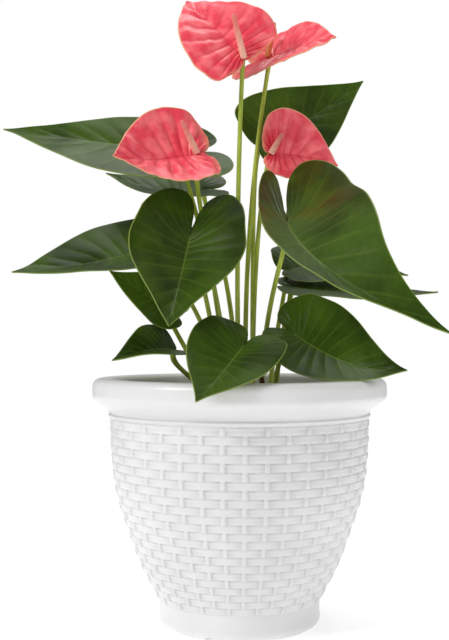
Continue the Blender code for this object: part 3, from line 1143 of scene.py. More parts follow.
    def hole_cutter(self, heading: float, finish: bpy.types.Material) -> bpy.types.Object:
        """A round drain hole in the roof of a channel.

        Args:
            heading: its direction in radians.
            finish: the plastic.

        Returns:
            The cutter's object.
        """
        drill = bmesh.new()
        bmesh.ops.create_cone(drill, cap_ends=True, segments=40, radius1=self.hole * MM,
                              radius2=self.hole * MM, depth=4 * self.floor * MM)
        place = Vector((math.cos(heading), math.sin(heading), 0)) * self.hole_place * MM
        bmesh.ops.translate(drill, verts=drill.verts, vec=place)
        return shape_object("cutter", drill, finish)


# ------------------------------------------------------------------ potting mix

@cache
def crumb_tree() -> Wiring:
    """Strews lumps of uneven size and turn over a surface, which itself isn't kept.

    Returns:
        The wiring of the geometry tree.
    """
    inputs = {"Density": 40000.0, "Size": 1.6, "Smallest": 0.4, "Flatness": 0.5, "Seed": 1, "Finish": None}
    wiring = new_group("strewn_crumbs", "GeometryNodeTree", inputs, {"Geometry": "NodeSocketGeometry"})
    points = wiring.add("GeometryNodeDistributePointsOnFaces",
                        {"Mesh": wiring.given["Geometry"], "Density": wiring.given["Density"],
                         "Seed": wiring.given["Seed"]})
    lump = wiring.add("GeometryNodeMeshIcoSphere", {"Subdivisions": 2})
    wiring.feed(lump, "Radius", wiring.times(wiring.given["Size"], MM))
    coarse = wiring.add("ShaderNodeTexNoise", {"Scale": 420.0, "Detail": 1.0}, noise_dimensions="3D")
    push = wiring.add("ShaderNodeVectorMath", {0: coarse.outputs["Color"], 1: (0.5, 0.5, 0.5)},
                      operation="SUBTRACT")
    scaled = wiring.add("ShaderNodeVectorMath", {0: push.outputs[0], "Scale": 0.0022}, operation="SCALE")
    rough = wiring.add("GeometryNodeSetPosition", {"Geometry": lump.outputs["Mesh"],
                                                   "Offset": scaled.outputs[0]})
    size = wiring.add("FunctionNodeRandomValue", {2: wiring.given["Smallest"], 3: 1.0,
                                                  "Seed": wiring.given["Seed"]}, data_type="FLOAT")
    flat = wiring.times(size.outputs[1], wiring.given["Flatness"])
    scale = wiring.add("ShaderNodeCombineXYZ", {0: size.outputs[1], 1: size.outputs[1], 2: flat})
    turn = wiring.add("FunctionNodeRandomValue", {0: (-0.5, -0.5, 0.0), 1: (0.5, 0.5, 6.28),
                                                  "Seed": wiring.given["Seed"]}, data_type="FLOAT_VECTOR")
    strewn = wiring.add("GeometryNodeInstanceOnPoints",
                        {"Points": points.outputs["Points"], "Instance": rough.outputs[0],
                         "Rotation": turn.outputs[0], "Scale": scale.outputs[0]})
    real = wiring.add("GeometryNodeRealizeInstances", {0: strewn.outputs[0]})
    return end_tree(wiring, real.outputs[0])


@dataclass
class PottingMix:
    """Dark peat with bark chips and perlite, in mm."""

    top: float = 117.0
    crown: float = 3.0
    radius: float = 68.0
    level: float = 46.0             # radius of the level middle
    rings: int = 40
    columns: int = 144
    lumps: float = 1.1              # height of the surface's unevenness
    lump_sizes: tuple = (9.0, 3.5)
    sink: float = 0.9               # how far the middle lies under the top
    wall_gap: float = 0.4
    floor_gap: float = 0.5
    wall_span: tuple = (0.06, 0.98)     # share of the planter's wall that the mix lies against
    wall_rings: int = 12
    shoulder: float = 3.0           # how far under its edge the mix meets the wall
    heel: float = 3.0               # how far the mix draws in at the floor
    strewn_radius: float = 63.0
    strewn_rings: int = 24

    def height(self, x: float, y: float) -> float:
        """The height of the surface.

        Args:
            x, y: the place.

        Returns:
            The height in mm.
        """
        out = max(math.hypot(x, y) - self.level, 0.0) / (self.radius - self.level)
        broad, fine = self.lump_sizes
        rough = noise.noise(Vector((x, y, 3.0)) / broad) + 0.5 * noise.noise(Vector((x, y, 7.0)) / fine)
        return self.top - self.sink - self.crown * out + self.lumps * rough

    def disc(self, radius: float, rings: int) -> tuple[np.ndarray, list]:
        """The surface as a round grid.

        Args:
            radius: how far out it goes.
            rings: how many rings of faces.

        Returns:
            Its corners, the middle one first, and its faces.
        """
        points = [(0.0, 0.0, self.height(0.0, 0.0))]
        for ring in range(1, rings + 1):
            for column in range(self.columns):
                angle = 2 * math.pi * column / self.columns
                x, y = (radius * ring / rings * f(angle) for f in (math.cos, math.sin))
                points.append((x, y, self.height(x, y)))
        faces = ring_cap(0, 1, self.columns)
        for ring in range(rings - 1):
            near = 1 + ring * self.columns
            faces += ring_band(near, near + self.columns, self.columns, True)
        return np.array(points), faces

    def build(self, planter: Planter) -> list[bpy.types.Object]:
        """Makes the mix and what lies on it.

        Args:
            planter: the planter that holds it.

        Returns:
            The mix, its bark and its perlite.
        """
        points, faces = self.disc(self.radius, self.rings)
        base = planter.floor + self.floor_gap
        wall = smooth_curve(planter.curve, np.linspace(*self.wall_span, self.wall_rings))
        wall = wall - (planter.wall + self.wall_gap, 0.0)
        below = [(radius, height) for radius, height in wall if height < self.top - self.crown - self.shoulder]
        below += [(below[-1][0] - self.heel, base)]
        angles = np.linspace(0, 2 * math.pi, self.columns, endpoint=False)
        for number in range(len(below)):
            near = len(points) + (number - 1) * self.columns
            faces += ring_band(near, near + self.columns, self.columns, True)
        points = np.vstack([points, turned_points(below, angles), (0.0, 0.0, base)])
        faces += ring_cap(len(points) - 1, len(points) - 1 - self.columns, self.columns, True)
        made = [make_piece("potting_mix_peat", points, faces, [PEAT.build()])]
        made.append(self.strew("potting_mix_bark", BARK, {"Density": 52000.0, "Size": 2.1, "Smallest": 0.35,
                                                          "Flatness": 0.45, "Seed": 4}))
        made.append(self.strew("potting_mix_perlite", PERLITE, {"Density": 9000.0, "Size": 1.3, "Smallest": 0.5,
                                                                "Flatness": 0.9, "Seed": 9}))
        return [finish_piece(piece, Slot.MIX, "potting_mix") for piece in made]

    def strew(self, name: str, finish: CrumbFinish, values: dict[str, object]) -> bpy.types.Object:
        """Strews one kind of crumb over the mix.

        Args:
            name: the piece's name.
            finish: the crumbs' finish.
            values: the tree's inputs.

        Returns:
            The crumbs as one object.
        """
        points, faces = self.disc(self.strewn_radius, self.strewn_rings)
        ground = make_piece(name, points, faces, [])
        if ground.data.polygons[0].normal.z < 0:
            ground.data.flip_normals()
        return run_tree(ground, crumb_tree(), {**values, "Finish": finish.build()})


# ------------------------------------------------------------------ leaves and flowers

HEART = ((0.0, 0.0, 0.0), (0.5, 0.0, 0.05), (0.86, 0.0, 0.16), (1.0, 0.0, 0.36), (0.86, 0.0, 0.62),
         (0.42, 0.0, 0.86), (0.0, 0.08, 0.99), (0.0, 0.23, 1.0), (0.0, 0.42, 0.87),
         (0.0, 0.62, 0.59), (0.0, 0.79, 0.31), (0.0, 0.91, 0.12), (0.0, 1.0, 0.0))
MIDRIB_SPREAD = 3.3                 # how strongly the rows gather at the stalk
MIDRIB_EVEN = 0.04                  # share of the midrib along which they stay evenly spaced
LOBE_REACH = 0.05                   # share of the length over which the lobes keep the midrib's slope
VEIN_BEND = 1.3                     # how strongly the side veins bend towards the tip
VEIN_SPREAD = 0.1                   # half width of a side vein, in gaps between veins
MIDRIB_WIDTH = 1.0                  # half width of the midrib, mm
MIDRIB_TAPER = 0.75                 # share of the midrib's height that is lost by the tip
MARGIN_BEAD = 0.45                  # how far the margin bulges, in thicknesses
VEIN_LINES = (0.0, 0.1, 0.28, 0.5, 0.72, 0.9)
COLUMN_STEPS = 14
PETIOLE_GAP = 1.1                   # from a blade's middle surface to its petiole's end, mm
PETIOLE_SWELL = 0.28                # how much thicker a petiole is at its knee
PEDUNCLE_SWELL = 0.1
SPADIX_GAP = 1.5                    # from a spathe's middle surface to its spadix, mm


@dataclass(frozen=True)
class Relief:
    """How a blade's surface is modelled, in mm."""

    veins: int
    thickness: float
    groove: float                   # depth of the side veins above
    rib: float                      # height of the side veins below
    midrib_groove: float
    midrib_rib: float
    quilt: float                    # swell between the side veins
    pucker: float                   # height of the random creases
    pucker_size: float
    wave: float                     # swing of the margin
    waves: float = 2.6


LEAF_RELIEF = Relief(LEAF_VEINS, 0.62, 0.1, 0.22, 0.22, 0.75, 0.16, 0.7, 17.0, 1.0)
SPATHE_RELIEF = Relief(SPATHE_VEINS, 0.62, 0.24, 0.25, 0.26, 0.5, 1.1, 1.1, 5.0, 0.7)


@dataclass
class Blade:
    """A heart-shaped blade, in mm and degrees. Its stalk meets it at place."""

    place: tuple
    heading: float
    pitch: float
    roll: float
    length: float
    width: float
    lobe: float
    arch: float
    sweep: float
    fold: tuple
    cup: float = 0.0
    skew: float = 0.0

    def turn(self) -> Matrix:
        """The blade's rotation in the frame."""
        angles = [math.radians(angle) for angle in (self.roll, -self.pitch, self.heading)]
        return Euler(angles).to_matrix()

    def normal(self) -> np.ndarray:
        """The direction that its upper side faces at the stalk, in the frame."""
        tangent = Vector((1.0, 4 * self.sweep / self.length, 4 * self.arch / self.length)).normalized()
        up = (Vector((0, 0, 1)) - tangent * tangent.z).normalized()
        return np.array(self.turn() @ up)

    def surface(self, along: np.ndarray, side: np.ndarray) -> np.ndarray:
        """Points of the middle surface.

        Args:
            along: distance from the stalk towards the tip.
            side: distance from the midrib, positive to the left.

        Returns:
            Points in the blade's own frame: X along, Y left, Z up.
        """
        tau = along / self.length
        ahead = np.maximum(tau, 0.0)
        behind = np.minimum(tau, 0.0)
        bow = 4 * ahead * (1 - ahead)
        slope = 4 * (1 - 2 * ahead) / self.length
        tangent = unit(np.stack([np.ones_like(slope), slope * self.sweep, slope * self.arch], axis=-1))
        normal = unit(np.array([0.0, 0.0, 1.0]) - tangent * tangent[..., 2:])
        left = np.cross(normal, tangent)
        half = 0.5 * self.width
        out = np.abs(side)
        angle = np.radians(np.where(side >= 0, self.fold[0], self.fold[1]))
        soft = np.sqrt(out ** 2 + 1.0) - 1.0
        lift = soft * np.sin(angle) + self.cup * (out / half) ** 2 * half
        aside = self.sweep * (bow + 4 * behind)
        rise = self.arch * (bow + 4 * np.maximum(behind, -LOBE_REACH))
        middle = np.stack([along, aside, rise], axis=-1)
        return middle + left * (side * np.cos(angle))[..., None] + normal * lift[..., None]

    def build(self, name: str, relief: Relief, finishes: list[bpy.types.Material],
              phase: float) -> bpy.types.Object:
        """Makes the blade: an upper side, an underside and a rounded margin.

        Args:
            name: the piece's name.
            relief: how its surface is modelled.
            finishes: for the upper side, the underside and the margin.
            phase: where the margin's waves start, in turns.

        Returns:
            The blade's object.
        """
        lines = np.concatenate([number + np.array(VEIN_LINES) for number in range(relief.veins)])
        share = (lines[1:] / relief.veins)[:, None]
        half_parts = 0.5 * (1 - np.cos(np.linspace(0, math.pi, COLUMN_STEPS + 1)))
        part = np.concatenate([-half_parts[:0:-1], half_parts])[None, :]
        back, forward, wide = (row[:, None] for row in smooth_curve(HEART, share[:, 0]).T)
        root = self.length * (MIDRIB_EVEN * share + (1 - MIDRIB_EVEN) * share ** MIDRIB_SPREAD)
        edge = self.length * forward - self.lobe * back
        out = np.abs(part)
        along = root + (edge - root) * out ** VEIN_BEND
        side = 0.5 * self.width * wide * part * np.where(part > 0, 1 + self.skew, 1 - self.skew)
        middle = self.surface(along, side)
        normal = unit(np.cross(np.gradient(middle, axis=0), np.gradient(middle, axis=1)))
        normal *= np.sign(normal[..., 2:].mean())
        upper, lower = self.sides(middle, normal, share, out, side, relief, phase)
        return self.close(name, middle, normal, upper, lower, share, part, relief, finishes)

    def sides(self, middle: np.ndarray, normal: np.ndarray, share: np.ndarray, out: np.ndarray,
              side: np.ndarray, relief: Relief, phase: float) -> tuple[np.ndarray, np.ndarray]:
        """The upper side and the underside, with their veins.

        Args:
            middle, normal: the middle surface and its directions.
            share: each row's place from notch to tip.
            out: each column's place from midrib to margin.
            side: distance from the midrib.
            relief: how the surface is modelled.
            phase: where the margin's waves start, in turns.

        Returns:
            The two sides' points.
        """
        cell = share * relief.veins % 1.0
        near = np.minimum(cell, 1 - cell)
        line = np.exp(-(near / VEIN_SPREAD) ** 2) * (1 - out ** 3)
        rib = np.exp(-(side / MIDRIB_WIDTH) ** 2) * (1 - MIDRIB_TAPER * share)
        swell = np.sin(math.pi * cell) ** 2 * np.sin(math.pi * np.minimum(out, 1.0)) ** 0.7
        places = middle.reshape(-1, 3) / relief.pucker_size + 10 * phase
        crease = np.array([noise.noise(Vector(place)) for place in places]).reshape(middle.shape[:2])
        swing = np.sin(2 * math.pi * (relief.waves * share + phase)) * np.sin(math.pi * share)
        swing = relief.wave * swing * out ** 2.5
        lift = relief.quilt * swell + relief.pucker * crease * np.minimum(1, 3 * out) + swing
        above = 0.5 * relief.thickness + lift - relief.groove * line - relief.midrib_groove * rib
        below = -0.5 * relief.thickness + lift - relief.rib * line - relief.midrib_rib * rib
        return middle + normal * above[..., None], middle + normal * below[..., None]

    def close(self, name: str, middle: np.ndarray, normal: np.ndarray, upper: np.ndarray,
              lower: np.ndarray, share: np.ndarray, part: np.ndarray, relief: Relief,
              finishes: list[bpy.types.Material]) -> bpy.types.Object:
        """Joins the two sides round the margin, the notch and the tip.

        Args:
            name: the piece's name.
            middle, normal: the middle surface and its directions.
            upper, lower: the two sides' points.
            share, part: rows' and columns' places.
            relief: how the surface is modelled.
            finishes: for the upper side, the underside and the margin.

        Returns:
            The closed blade, placed in the frame.
        """
        rows, columns = middle.shape[:2]
        bead = MARGIN_BEAD * relief.thickness
        left = 0.5 * (upper + lower)[:, 0] + unit(middle[:, 0] - middle[:, 1]) * bead
        right = 0.5 * (upper + lower)[:, -1] + unit(middle[:, -1] - middle[:, -2]) * bead
        ends = self.surface(np.array([0.0, self.length]), np.zeros(2))
        thick = 0.5 * relief.thickness
        poles = []
        for end, row in zip(ends, (0, -1)):
            up = normal[row, columns // 2] * thick
            poles += [end + up, end - up, end]
        points = np.vstack([upper.reshape(-1, 3), lower.reshape(-1, 3), left, right, poles])
        grid = np.arange(rows * columns).reshape(rows, columns)
        above, below = grid, grid + rows * columns
        rim_left = 2 * rows * columns + np.arange(rows)
        rim_right = rim_left + rows
        notch, tip = (2 * rows * columns + 2 * rows + np.arange(6)).reshape(2, 3)
        faces = self.side_faces(above, notch[0], tip[0], False)
        more = self.side_faces(below, notch[1], tip[1], True)
        rims = self.rim_faces(above[:, 0], below[:, 0], rim_left, notch, tip, False)
        rims += self.rim_faces(above[:, -1], below[:, -1], rim_right, notch, tip, True)
        marks = np.repeat([0, 1, 2], [len(faces), len(more), len(rims)])
        u = np.concatenate([np.tile((part[0] + 1) / 2, 2 * rows), np.zeros(rows), np.ones(rows),
                            np.full(6, 0.5)])
        v = np.concatenate([np.tile(np.repeat(share[:, 0], columns), 2), share[:, 0], share[:, 0],
                            np.repeat([0.0, 1.0], 3)])
        placed = points @ np.array(self.turn()).T + np.array(self.place)
        return make_piece(name, inside_frame(placed), faces + more + rims, finishes, marks,
                          np.column_stack([u, v]))

    def side_faces(self, grid: np.ndarray, notch: int, tip: int, reverse: bool) -> list:
        """Faces of one side.

        Args:
            grid: its corner numbers by row and column.
            notch, tip: the corners at its two ends.
            reverse: True for the underside.

        Returns:
            The faces.
        """
        quads = np.stack([grid[:-1, :-1], grid[1:, :-1], grid[1:, 1:], grid[:-1, 1:]], axis=-1).reshape(-1, 4)
        faces = [tuple(int(c) for c in quad) for quad in quads]
        faces += [(int(a), int(b), int(notch)) for a, b in zip(grid[0], grid[0, 1:])]
        faces += [(int(b), int(a), int(tip)) for a, b in zip(grid[-1], grid[-1, 1:])]
        return [face[::-1] for face in faces] if reverse else faces

    def rim_faces(self, above: np.ndarray, below: np.ndarray, rim: np.ndarray, notch: np.ndarray,
                  tip: np.ndarray, reverse: bool) -> list:
        """Faces of the rounded margin on one side.

        Args:
            above, below, rim: corner numbers down the margin.
            notch, tip: the upper, lower and middle corners at the ends.
            reverse: True for the right margin.

        Returns:
            The faces.
        """
        top = [notch[0], *above, tip[0]]
        middle = [notch[2], *rim, tip[2]]
        bottom = [notch[1], *below, tip[1]]
        faces = []
        for step in range(len(top) - 1):
            faces.append((top[step + 1], top[step], middle[step], middle[step + 1]))
            faces.append((middle[step + 1], middle[step], bottom[step], bottom[step + 1]))
        faces = [tuple(int(c) for c in face) for face in faces]
        return [face[::-1] for face in faces] if reverse else faces


@dataclass
class Stalk:
    """A round stalk from the potting mix to its blade, in mm."""

    foot: tuple
    lean: tuple
    rise: float
    knee: float
    radius: float = 1.3
    mix_top: float = 117.0
    buried: float = 3.0
    taper: float = 0.2
    flare: float = 0.45             # how much thicker it is at the mix
    flare_height: float = 5.0
    knee_place: float = 3.0         # how far before its end the swelling peaks
    knee_spread: float = 5.0
    steps: int = 56
    sides: int = 14

    def build(self, name: str, end: np.ndarray, arrival: np.ndarray, knee_swell: float,
              finish: bpy.types.Material) -> bpy.types.Object:
        """Makes the stalk.

        Args:
            name: the piece's name.
            end: where it meets its blade.
            arrival: its direction there.
            knee_swell: how much thicker its last stretch is.
            finish: its material.

        Returns:
            The stalk's object.
        """
        foot = np.array([*self.foot, self.mix_top])
        handles = (foot, foot + (*self.lean, self.rise), end - arrival * self.knee, end)
        t = np.linspace(0, 1, self.steps)[:, None]
        weights = ((1 - t) ** 3, 3 * t * (1 - t) ** 2, 3 * t * t * (1 - t), t ** 3)
        path = sum(weight * handle for weight, handle in zip(weights, handles))
        path[0, 2] -= self.buried
        t = t[:, 0]
        reach = np.linalg.norm(path - end, axis=1)
        swell = knee_swell * np.exp(-((reach - self.knee_place) / self.knee_spread) ** 2)
        base = self.flare * np.exp(-(path[:, 2] - self.mix_top) / self.flare_height).clip(0, 1)
        radii = self.radius * (1.12 - self.taper * t + swell + base)
        return tube(name, path, radii, self.sides, [finish])


@cache
def floret_tree() -> Wiring:
    """Covers a flower spike with florets that wind round it by the golden angle.

    Returns:
        The wiring of the geometry tree.
    """
    inputs = {"Florets": 360, "Length": 20.0, "Radius": 1.6, "Taper": 0.55, "Floret Size": 0.34, "Finish": None}
    wiring = new_group("spike_florets", "GeometryNodeTree", inputs, {"Geometry": "NodeSocketGeometry"})
    index = wiring.add("GeometryNodeInputIndex").outputs[0]
    share = wiring.math("DIVIDE", wiring.plus(index, 0.5), wiring.given["Florets"])
    angle = wiring.times(index, math.pi * (3 - math.sqrt(5)))
    loss = wiring.times(wiring.minus(1.0, wiring.given["Taper"]), wiring.math("POWER", share, 2.0))
    dome = wiring.math("SQRT", wiring.minus(1.0, wiring.math("POWER", share, 16.0)))
    slim = wiring.times(wiring.minus(1.0, loss), dome)
    radius = wiring.times(wiring.times(wiring.given["Radius"], slim), MM)
    cosine, sine = wiring.math("COSINE", angle), wiring.math("SINE", angle)
    height = wiring.times(wiring.times(wiring.given["Length"], share), MM)
    place = wiring.add("ShaderNodeCombineXYZ", {0: wiring.times(cosine, radius),
                                                1: wiring.times(sine, radius), 2: height})
    points = wiring.add("GeometryNodePoints", {"Count": wiring.given["Florets"],
                                               "Position": place.outputs[0]})
    lean = wiring.math("POWER", share, 12.0)
    outward = wiring.add("ShaderNodeCombineXYZ", {0: cosine, 1: sine, 2: lean})
    turn = wiring.add("FunctionNodeAlignRotationToVector", {"Vector": outward.outputs[0]}, axis="Z")
    floret = wiring.add("GeometryNodeMeshUVSphere", {"Segments": 7, "Rings": 4})
    wiring.feed(floret, "Radius", wiring.times(wiring.given["Floret Size"], MM))
    smooth = wiring.add("GeometryNodeSetShadeSmooth", {"Geometry": floret.outputs["Mesh"]})
    strewn = wiring.add("GeometryNodeInstanceOnPoints",
                        {"Points": points.outputs[0], "Instance": smooth.outputs[0],
                         "Rotation": turn.outputs[0], "Scale": (1.0, 1.0, 1.15)})
    joined = wiring.add("GeometryNodeJoinGeometry")
    wiring.tree.links.new(wiring.given["Geometry"], joined.inputs[0])
    wiring.tree.links.new(strewn.outputs[0], joined.inputs[0])
    real = wiring.add("GeometryNodeRealizeInstances", {0: joined.outputs[0]})
    position = wiring.add("ShaderNodeSeparateXYZ", {0: wiring.add("GeometryNodeInputPosition").outputs[0]})
    metres = wiring.times(wiring.given["Length"], MM)
    marked = wiring.add("GeometryNodeStoreNamedAttribute",
                        {"Geometry": real.outputs[0], "Name": "spike",
                         "Value": wiring.math("DIVIDE", position.outputs[2], metres)},
                        data_type="FLOAT", domain="POINT")
    return end_tree(wiring, marked.outputs[0])


@dataclass
class Spadix:
    """A flower spike, in mm."""

    length: float
    radius: float = 1.9
    taper: float = 0.55
    floret: float = 0.36
    crowding: float = 1.0625        # florets per square millimetre of its core
    rings: int = 26
    sides: int = 16

    def build(self, name: str, start: np.ndarray, spike: np.ndarray,
              finish: bpy.types.Material) -> bpy.types.Object:
        """Makes the spike with its florets.

        Args:
            name: the piece's name.
            start: where it leaves the spathe.
            spike: its direction.
            finish: its material.

        Returns:
            The spike's object.
        """
        core = self.radius - self.floret
        share = np.linspace(0, 1, self.rings)
        run = self.length - 1.4 * self.floret
        radii = core * (1 - (1 - self.taper) * share ** 2) * np.sqrt(1 - share ** 16 * 0.9)
        path = np.column_stack([np.zeros((self.rings, 2)), share * run])
        piece = tube(name, path, radii, self.sides, [finish])
        count = int(self.crowding * 2 * math.pi * core * self.length)
        values = {"Florets": count, "Length": run, "Radius": core, "Taper": self.taper,
                  "Floret Size": self.floret, "Finish": finish}
        run_tree(piece, floret_tree(), values)
        turn = Vector(spike).to_track_quat("Z", "Y").to_matrix().to_4x4()
        piece.data.transform(Matrix.Translation(Vector(start) * MM) @ turn)
        return piece


@dataclass
class Leaf:
    """A leaf: its blade and its petiole."""

    name: str
    blade: Blade
    stalk: Stalk

    def build(self, finishes: dict[str, bpy.types.Material], phase: float) -> None:
        """Makes both pieces.

        Args:
            finishes: the plant's materials by name.
            phase: where the margin's waves start, in turns.
        """
        dress = [finishes[key] for key in ("leaf_upper", "leaf_under", "leaf_edge")]
        blade = self.blade.build(self.name + "_skin", LEAF_RELIEF, dress, phase)
        finish_piece(blade, Slot.LEAF, self.name + "_blade")
        normal = self.blade.normal()
        end = np.array(self.blade.place) - normal * PETIOLE_GAP
        petiole = self.stalk.build(self.name + "_stem", end, normal, PETIOLE_SWELL, finishes["stalk_skin"])
        finish_piece(petiole, Slot.STALK, self.name + "_petiole")


@dataclass
class Flower:
    """A flower: its spathe, spadix and peduncle."""

    name: str
    spathe: Blade
    stalk: Stalk
    arrive: tuple
    spike: tuple
    spadix: Spadix
    spadix_finish: str = "spadix_rose"

    def build(self, finishes: dict[str, bpy.types.Material], phase: float) -> None:
        """Makes the three pieces.

        Args:
            finishes: the plant's materials by name.
            phase: where the margin's waves start, in turns.
        """
        dress = [finishes[key] for key in ("spathe_face", "spathe_back", "spathe_edge")]
        spathe = self.spathe.build(self.name + "_bract", SPATHE_RELIEF, dress, phase)
        finish_piece(spathe, Slot.SPATHE, self.name + "_spathe")
        normal = self.spathe.normal()
        place = np.array(self.spathe.place)
        spike = unit(np.array(self.spike))
        root = place + normal * SPADIX_GAP
        tip = place + normal * (self.spadix.radius + 0.75) + spike * (self.spadix.length + 0.5)
        lean = unit(tip - root)
        spadix = self.spadix.build(self.name + "_spike", root, lean, finishes[self.spadix_finish])
        finish_piece(spadix, Slot.SPADIX, self.name + "_spadix")
        end = place - normal * (0.75 * self.stalk.radius + 0.3)
        stem = self.stalk.build(self.name + "_stem", end, unit(np.array(self.arrive)), PEDUNCLE_SWELL,
                                finishes["stalk_skin"])
        finish_piece(stem, Slot.STALK, self.name + "_peduncle")


LEAVES = (
    Leaf("leaf_upper_left", Blade((-32, 18, 267), -175, 6, -40, 104, 64, 22, 5, 11, (6, 14), 0.0, 0.2),
         Stalk((-5, 7), (-4, -2), 80, 12)),
    Leaf("leaf_mid_left", Blade((-48, 18, 211), -159, -11, -28, 85, 61, 22, -4, -2, (14, 16)),
         Stalk((-11, 13), (-2, 3), 60, 18)),
    Leaf("leaf_behind_left", Blade((-21.5, 43, 248), -176, 9, -31, 59, 48, 15, -4, 2, (15, 16)),
         Stalk((-1, 16), (0, 8), 80, 16)),
    Leaf("leaf_front_left", Blade((-27, -17, 215), -99, -42, -7, 76, 68, 34, -6.5, -1, (23, 29), 0.03, 0.03),
         Stalk((-10, -2), (-4, 2), 60, 18)),
    Leaf("leaf_small_left", Blade((-38, -18, 174), -168, 32, -63, 39, 32, 9, -0.6, 0.4, (17, 18)),
         Stalk((-16, 4), (-4, 0), 25, 12)),
    Leaf("leaf_low_front", Blade((2, -52, 155), -115, -25, -18, 62, 51, 12, -3, -0.8, (17, 23)),
         Stalk((3, -20), (0, -4), 20, 10)),
    Leaf("leaf_low_left", Blade((-35, -26, 152), -138, -7, -30, 42, 35, 4, 3.8, 1.7, (22, 21), 0.03),
         Stalk((-13, -13), (-4, -2), 18, 10)),
    Leaf("leaf_low_right", Blade((28, -26, 161.3), -24, -17, 41, 66, 57, 13, -9, 0, (20, 16)),
         Stalk((17, -15), (2, 0), 22, 10)),
    Leaf("leaf_big_right", Blade((25, -37, 219.5), -46, -30, 24, 119, 60, 45, 9, -21, (30, 24), 0.0, 0.4),
         Stalk((12, -6), (0, 4), 60, 20)),
    Leaf("leaf_behind_right", Blade((28.5, 30, 198.5), 7, -2, 28, 74, 45, 5, 2, 4.7, (18, 6)),
         Stalk((17, 8), (2, 5), 40, 14)),
    Leaf("leaf_under_right",
         Blade((30.5, 12, 187.5), -4, -2, 13, 83, 46, 9, -2.7, 1.7, (13, 5), -0.06, -0.05),
         Stalk((20, -2), (1, 3), 35, 12)),
    Leaf("leaf_upper_right", Blade((13, 42, 274), 18, 33, 65, 82, 58, 4, -3, -1, (10, 10), 0.0, 0.05),
         Stalk((8, 17), (0, 8), 90, 20)),
)
FLOWERS = (
    Flower("flower_top", Blade((2, -22, 310), 143, 44, -50, 56, 55, 3, 6.6, 2.2, (17, 3), -0.03, -0.03),
           Stalk((0, -4), (-2, 8), 70, 50), (0.05, -0.3, 0.95), (-0.27, -0.28, 0.93), Spadix(24)),
    Flower("flower_left", Blade((-23, -39, 255), -136, -7, -53, 56, 51, 10, -6.4, -2.3, (14, 14), 0.06, -0.12),
           Stalk((-5, -11), (-8, 23), 80, 52), (0.06, -0.96, 0.26), (-0.42, -0.5, 0.76), Spadix(20)),
    Flower("flower_right", Blade((18, 12, 264), 20, -6, 76, 43.5, 42, 5, 0.5, 2, (30, 14), 0.0, 0.24),
           Stalk((7, -13), (0, 10), 60, 40), (0.15, -0.7, 0.7), (0.46, -0.45, 0.76), Spadix(14)),
    Flower("flower_top_right", Blade((17, 12, 319), -50, 1, 39, 54, 50, 20, 0, 1.4, (16, 4)),
           Stalk((4, 3), (-2, 16), 70, 60), (0.16, -0.25, 0.96), (0.25, -0.1, 0.96), Spadix(20),
           "spadix_amber"),
)


@dataclass
class SheathStub:
    """The dry, split remains of an old leaf's sheath, in mm."""

    foot: tuple = (12.0, -30.0, 116.0)
    top: tuple = (11.5, -31.0, 137.6)
    radii: tuple = (2.2, 0.9)

    def build(self) -> bpy.types.Object:
        """Makes the stub, crumpled and bent a little.

        Returns:
            The stub's object.
        """
        share = np.linspace(0, 1, 22)
        path = np.outer(1 - share, self.foot) + np.outer(share, self.top)
        path[:, 0] += 0.7 * np.sin(math.pi * share)
        ripple = 1 + 0.14 * np.sin(9.0 * share) + 0.08 * np.sin(23.0 * share)
        radii = (self.radii[0] + (self.radii[1] - self.radii[0]) * share) * ripple
        piece = tube("dry_sheath_husk", path, radii, 18, [DRY_SHEATH.build()])
        for vertex in piece.data.vertices:
            angle = math.atan2(vertex.co.y - self.foot[1] * MM, vertex.co.x - self.foot[0] * MM)
            crease = 0.2 * MM * math.sin(5 * angle)
            vertex.co.x += crease * math.cos(angle)
            vertex.co.y += crease * math.sin(angle)
        return finish_piece(piece, Slot.SHEATH, "dry_sheath_stub")


@dataclass
class Plant:
    """All leaves and flowers."""

    leaves: tuple = LEAVES
    flowers: tuple = FLOWERS
    stub: SheathStub = field(default_factory=SheathStub)

    def build(self) -> None:
        """Makes every leaf and flower, each with its own run of waves."""
        kinds = (LEAF_UPPER, LEAF_UNDER, LEAF_EDGE, SPATHE_FACE, SPATHE_BACK, SPATHE_EDGE, SPADIX_ROSE,
                 SPADIX_AMBER, StalkFinish())
        finishes = {kind.name: kind.build() for kind in kinds}
        for number, part in enumerate((*self.leaves, *self.flowers)):
            part.build(finishes, 0.37 * number)
        self.stub.build()


# ------------------------------------------------------------------ studio

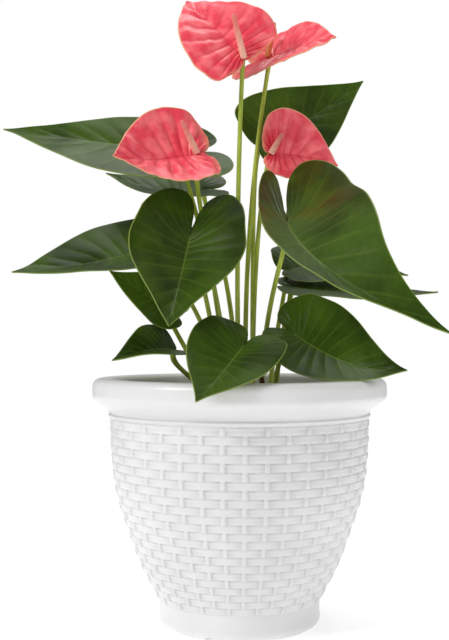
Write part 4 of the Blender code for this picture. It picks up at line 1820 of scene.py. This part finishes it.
@dataclass
class Studio:
    """A pale floor, soft lamps, a white surround and the camera. Places are in metres."""

    camera_place: tuple = (-0.0083, -0.600, 0.1594)
    camera_pitch: float = 0.86      # degrees above level
    lens: float = 60.0
    target: tuple = (0.0, 0.0, 0.2)     # what the lamps face
    floor_radius: float = 0.9
    floor_gap: float = 0.0002
    lamps: dict = field(default_factory=lambda: {
        Lamp.KEY: ((-0.85, -0.6, 1.0), 0.6, 9.5),
        Lamp.FILL: ((0.95, -0.6, 0.5), 0.7, 1.8),
        Lamp.TOP: ((0.1, 0.3, 1.25), 0.7, 4.0)})
    surround: float = 0.42          # how strongly the surround lights the plant

    def build(self) -> None:
        """Makes the floor, the lamps, the surround and the camera."""
        self.build_floor()
        self.build_surround()
        target = Vector(self.target)
        for lamp, (place, size, power) in self.lamps.items():
            self.build_lamp(lamp, Vector(place), size, power, target)
        self.build_camera()

    def build_floor(self) -> None:
        """The floor, a hair under the planter's foot."""
        disc = bmesh.new()
        bmesh.ops.create_circle(disc, cap_ends=True, segments=96, radius=self.floor_radius)
        bmesh.ops.translate(disc, verts=disc.verts, vec=(0, 0, -self.floor_gap))
        shape_object("floor", disc, FloorFinish().build())

    def build_surround(self) -> None:
        """A white surround, bright to look at and softer as a light."""
        world = bpy.data.worlds.new("surround")
        world.use_nodes = True
        wiring = Wiring(world.node_tree)
        path = wiring.add("ShaderNodeLightPath")
        level = wiring.ramp(path.outputs["Is Camera Ray"], 0.0, 1.0, self.surround, 1.0)
        shade = world.node_tree.nodes["Background"]
        shade.inputs["Color"].default_value = (1.0, 1.0, 1.0, 1.0)
        wiring.feed(shade, "Strength", level)
        bpy.context.scene.world = world
        bpy.context.scene.view_settings.view_transform = "Standard"

    def build_lamp(self, lamp: Lamp, place: Vector, size: float, power: float, target: Vector) -> None:
        """One soft lamp.

        Args:
            lamp: which lamp it is.
            place: where it hangs.
            size: the width of its face.
            power: its watts.
            target: what it faces.
        """
        data = bpy.data.lights.new(lamp.value, "AREA")
        data.shape = "DISK"
        data.size = size
        data.energy = power
        lit = link_object(lamp.value, data)
        lit.location = place
        lit.rotation_euler = (target - place).to_track_quat("-Z", "Y").to_euler()

    def build_camera(self) -> None:
        """The camera, level with the plant's middle."""
        data = bpy.data.cameras.new("camera")
        data.lens = self.lens
        data.sensor_width = 36.0
        data.clip_end = 50.0
        camera = link_object("camera", data)
        camera.location = self.camera_place
        camera.rotation_euler = (math.radians(90 + self.camera_pitch), 0, 0)
        bpy.context.scene.camera = camera


def main() -> None:
    """Builds the studio, the planter, the mix and the plant."""
    logging.basicConfig(level=logging.INFO, format="%(name)s: %(message)s")
    Studio().build()
    planter = Planter()
    planter.build()
    PottingMix().build(planter)
    Plant().build()


if __name__ == "__main__":
    main()
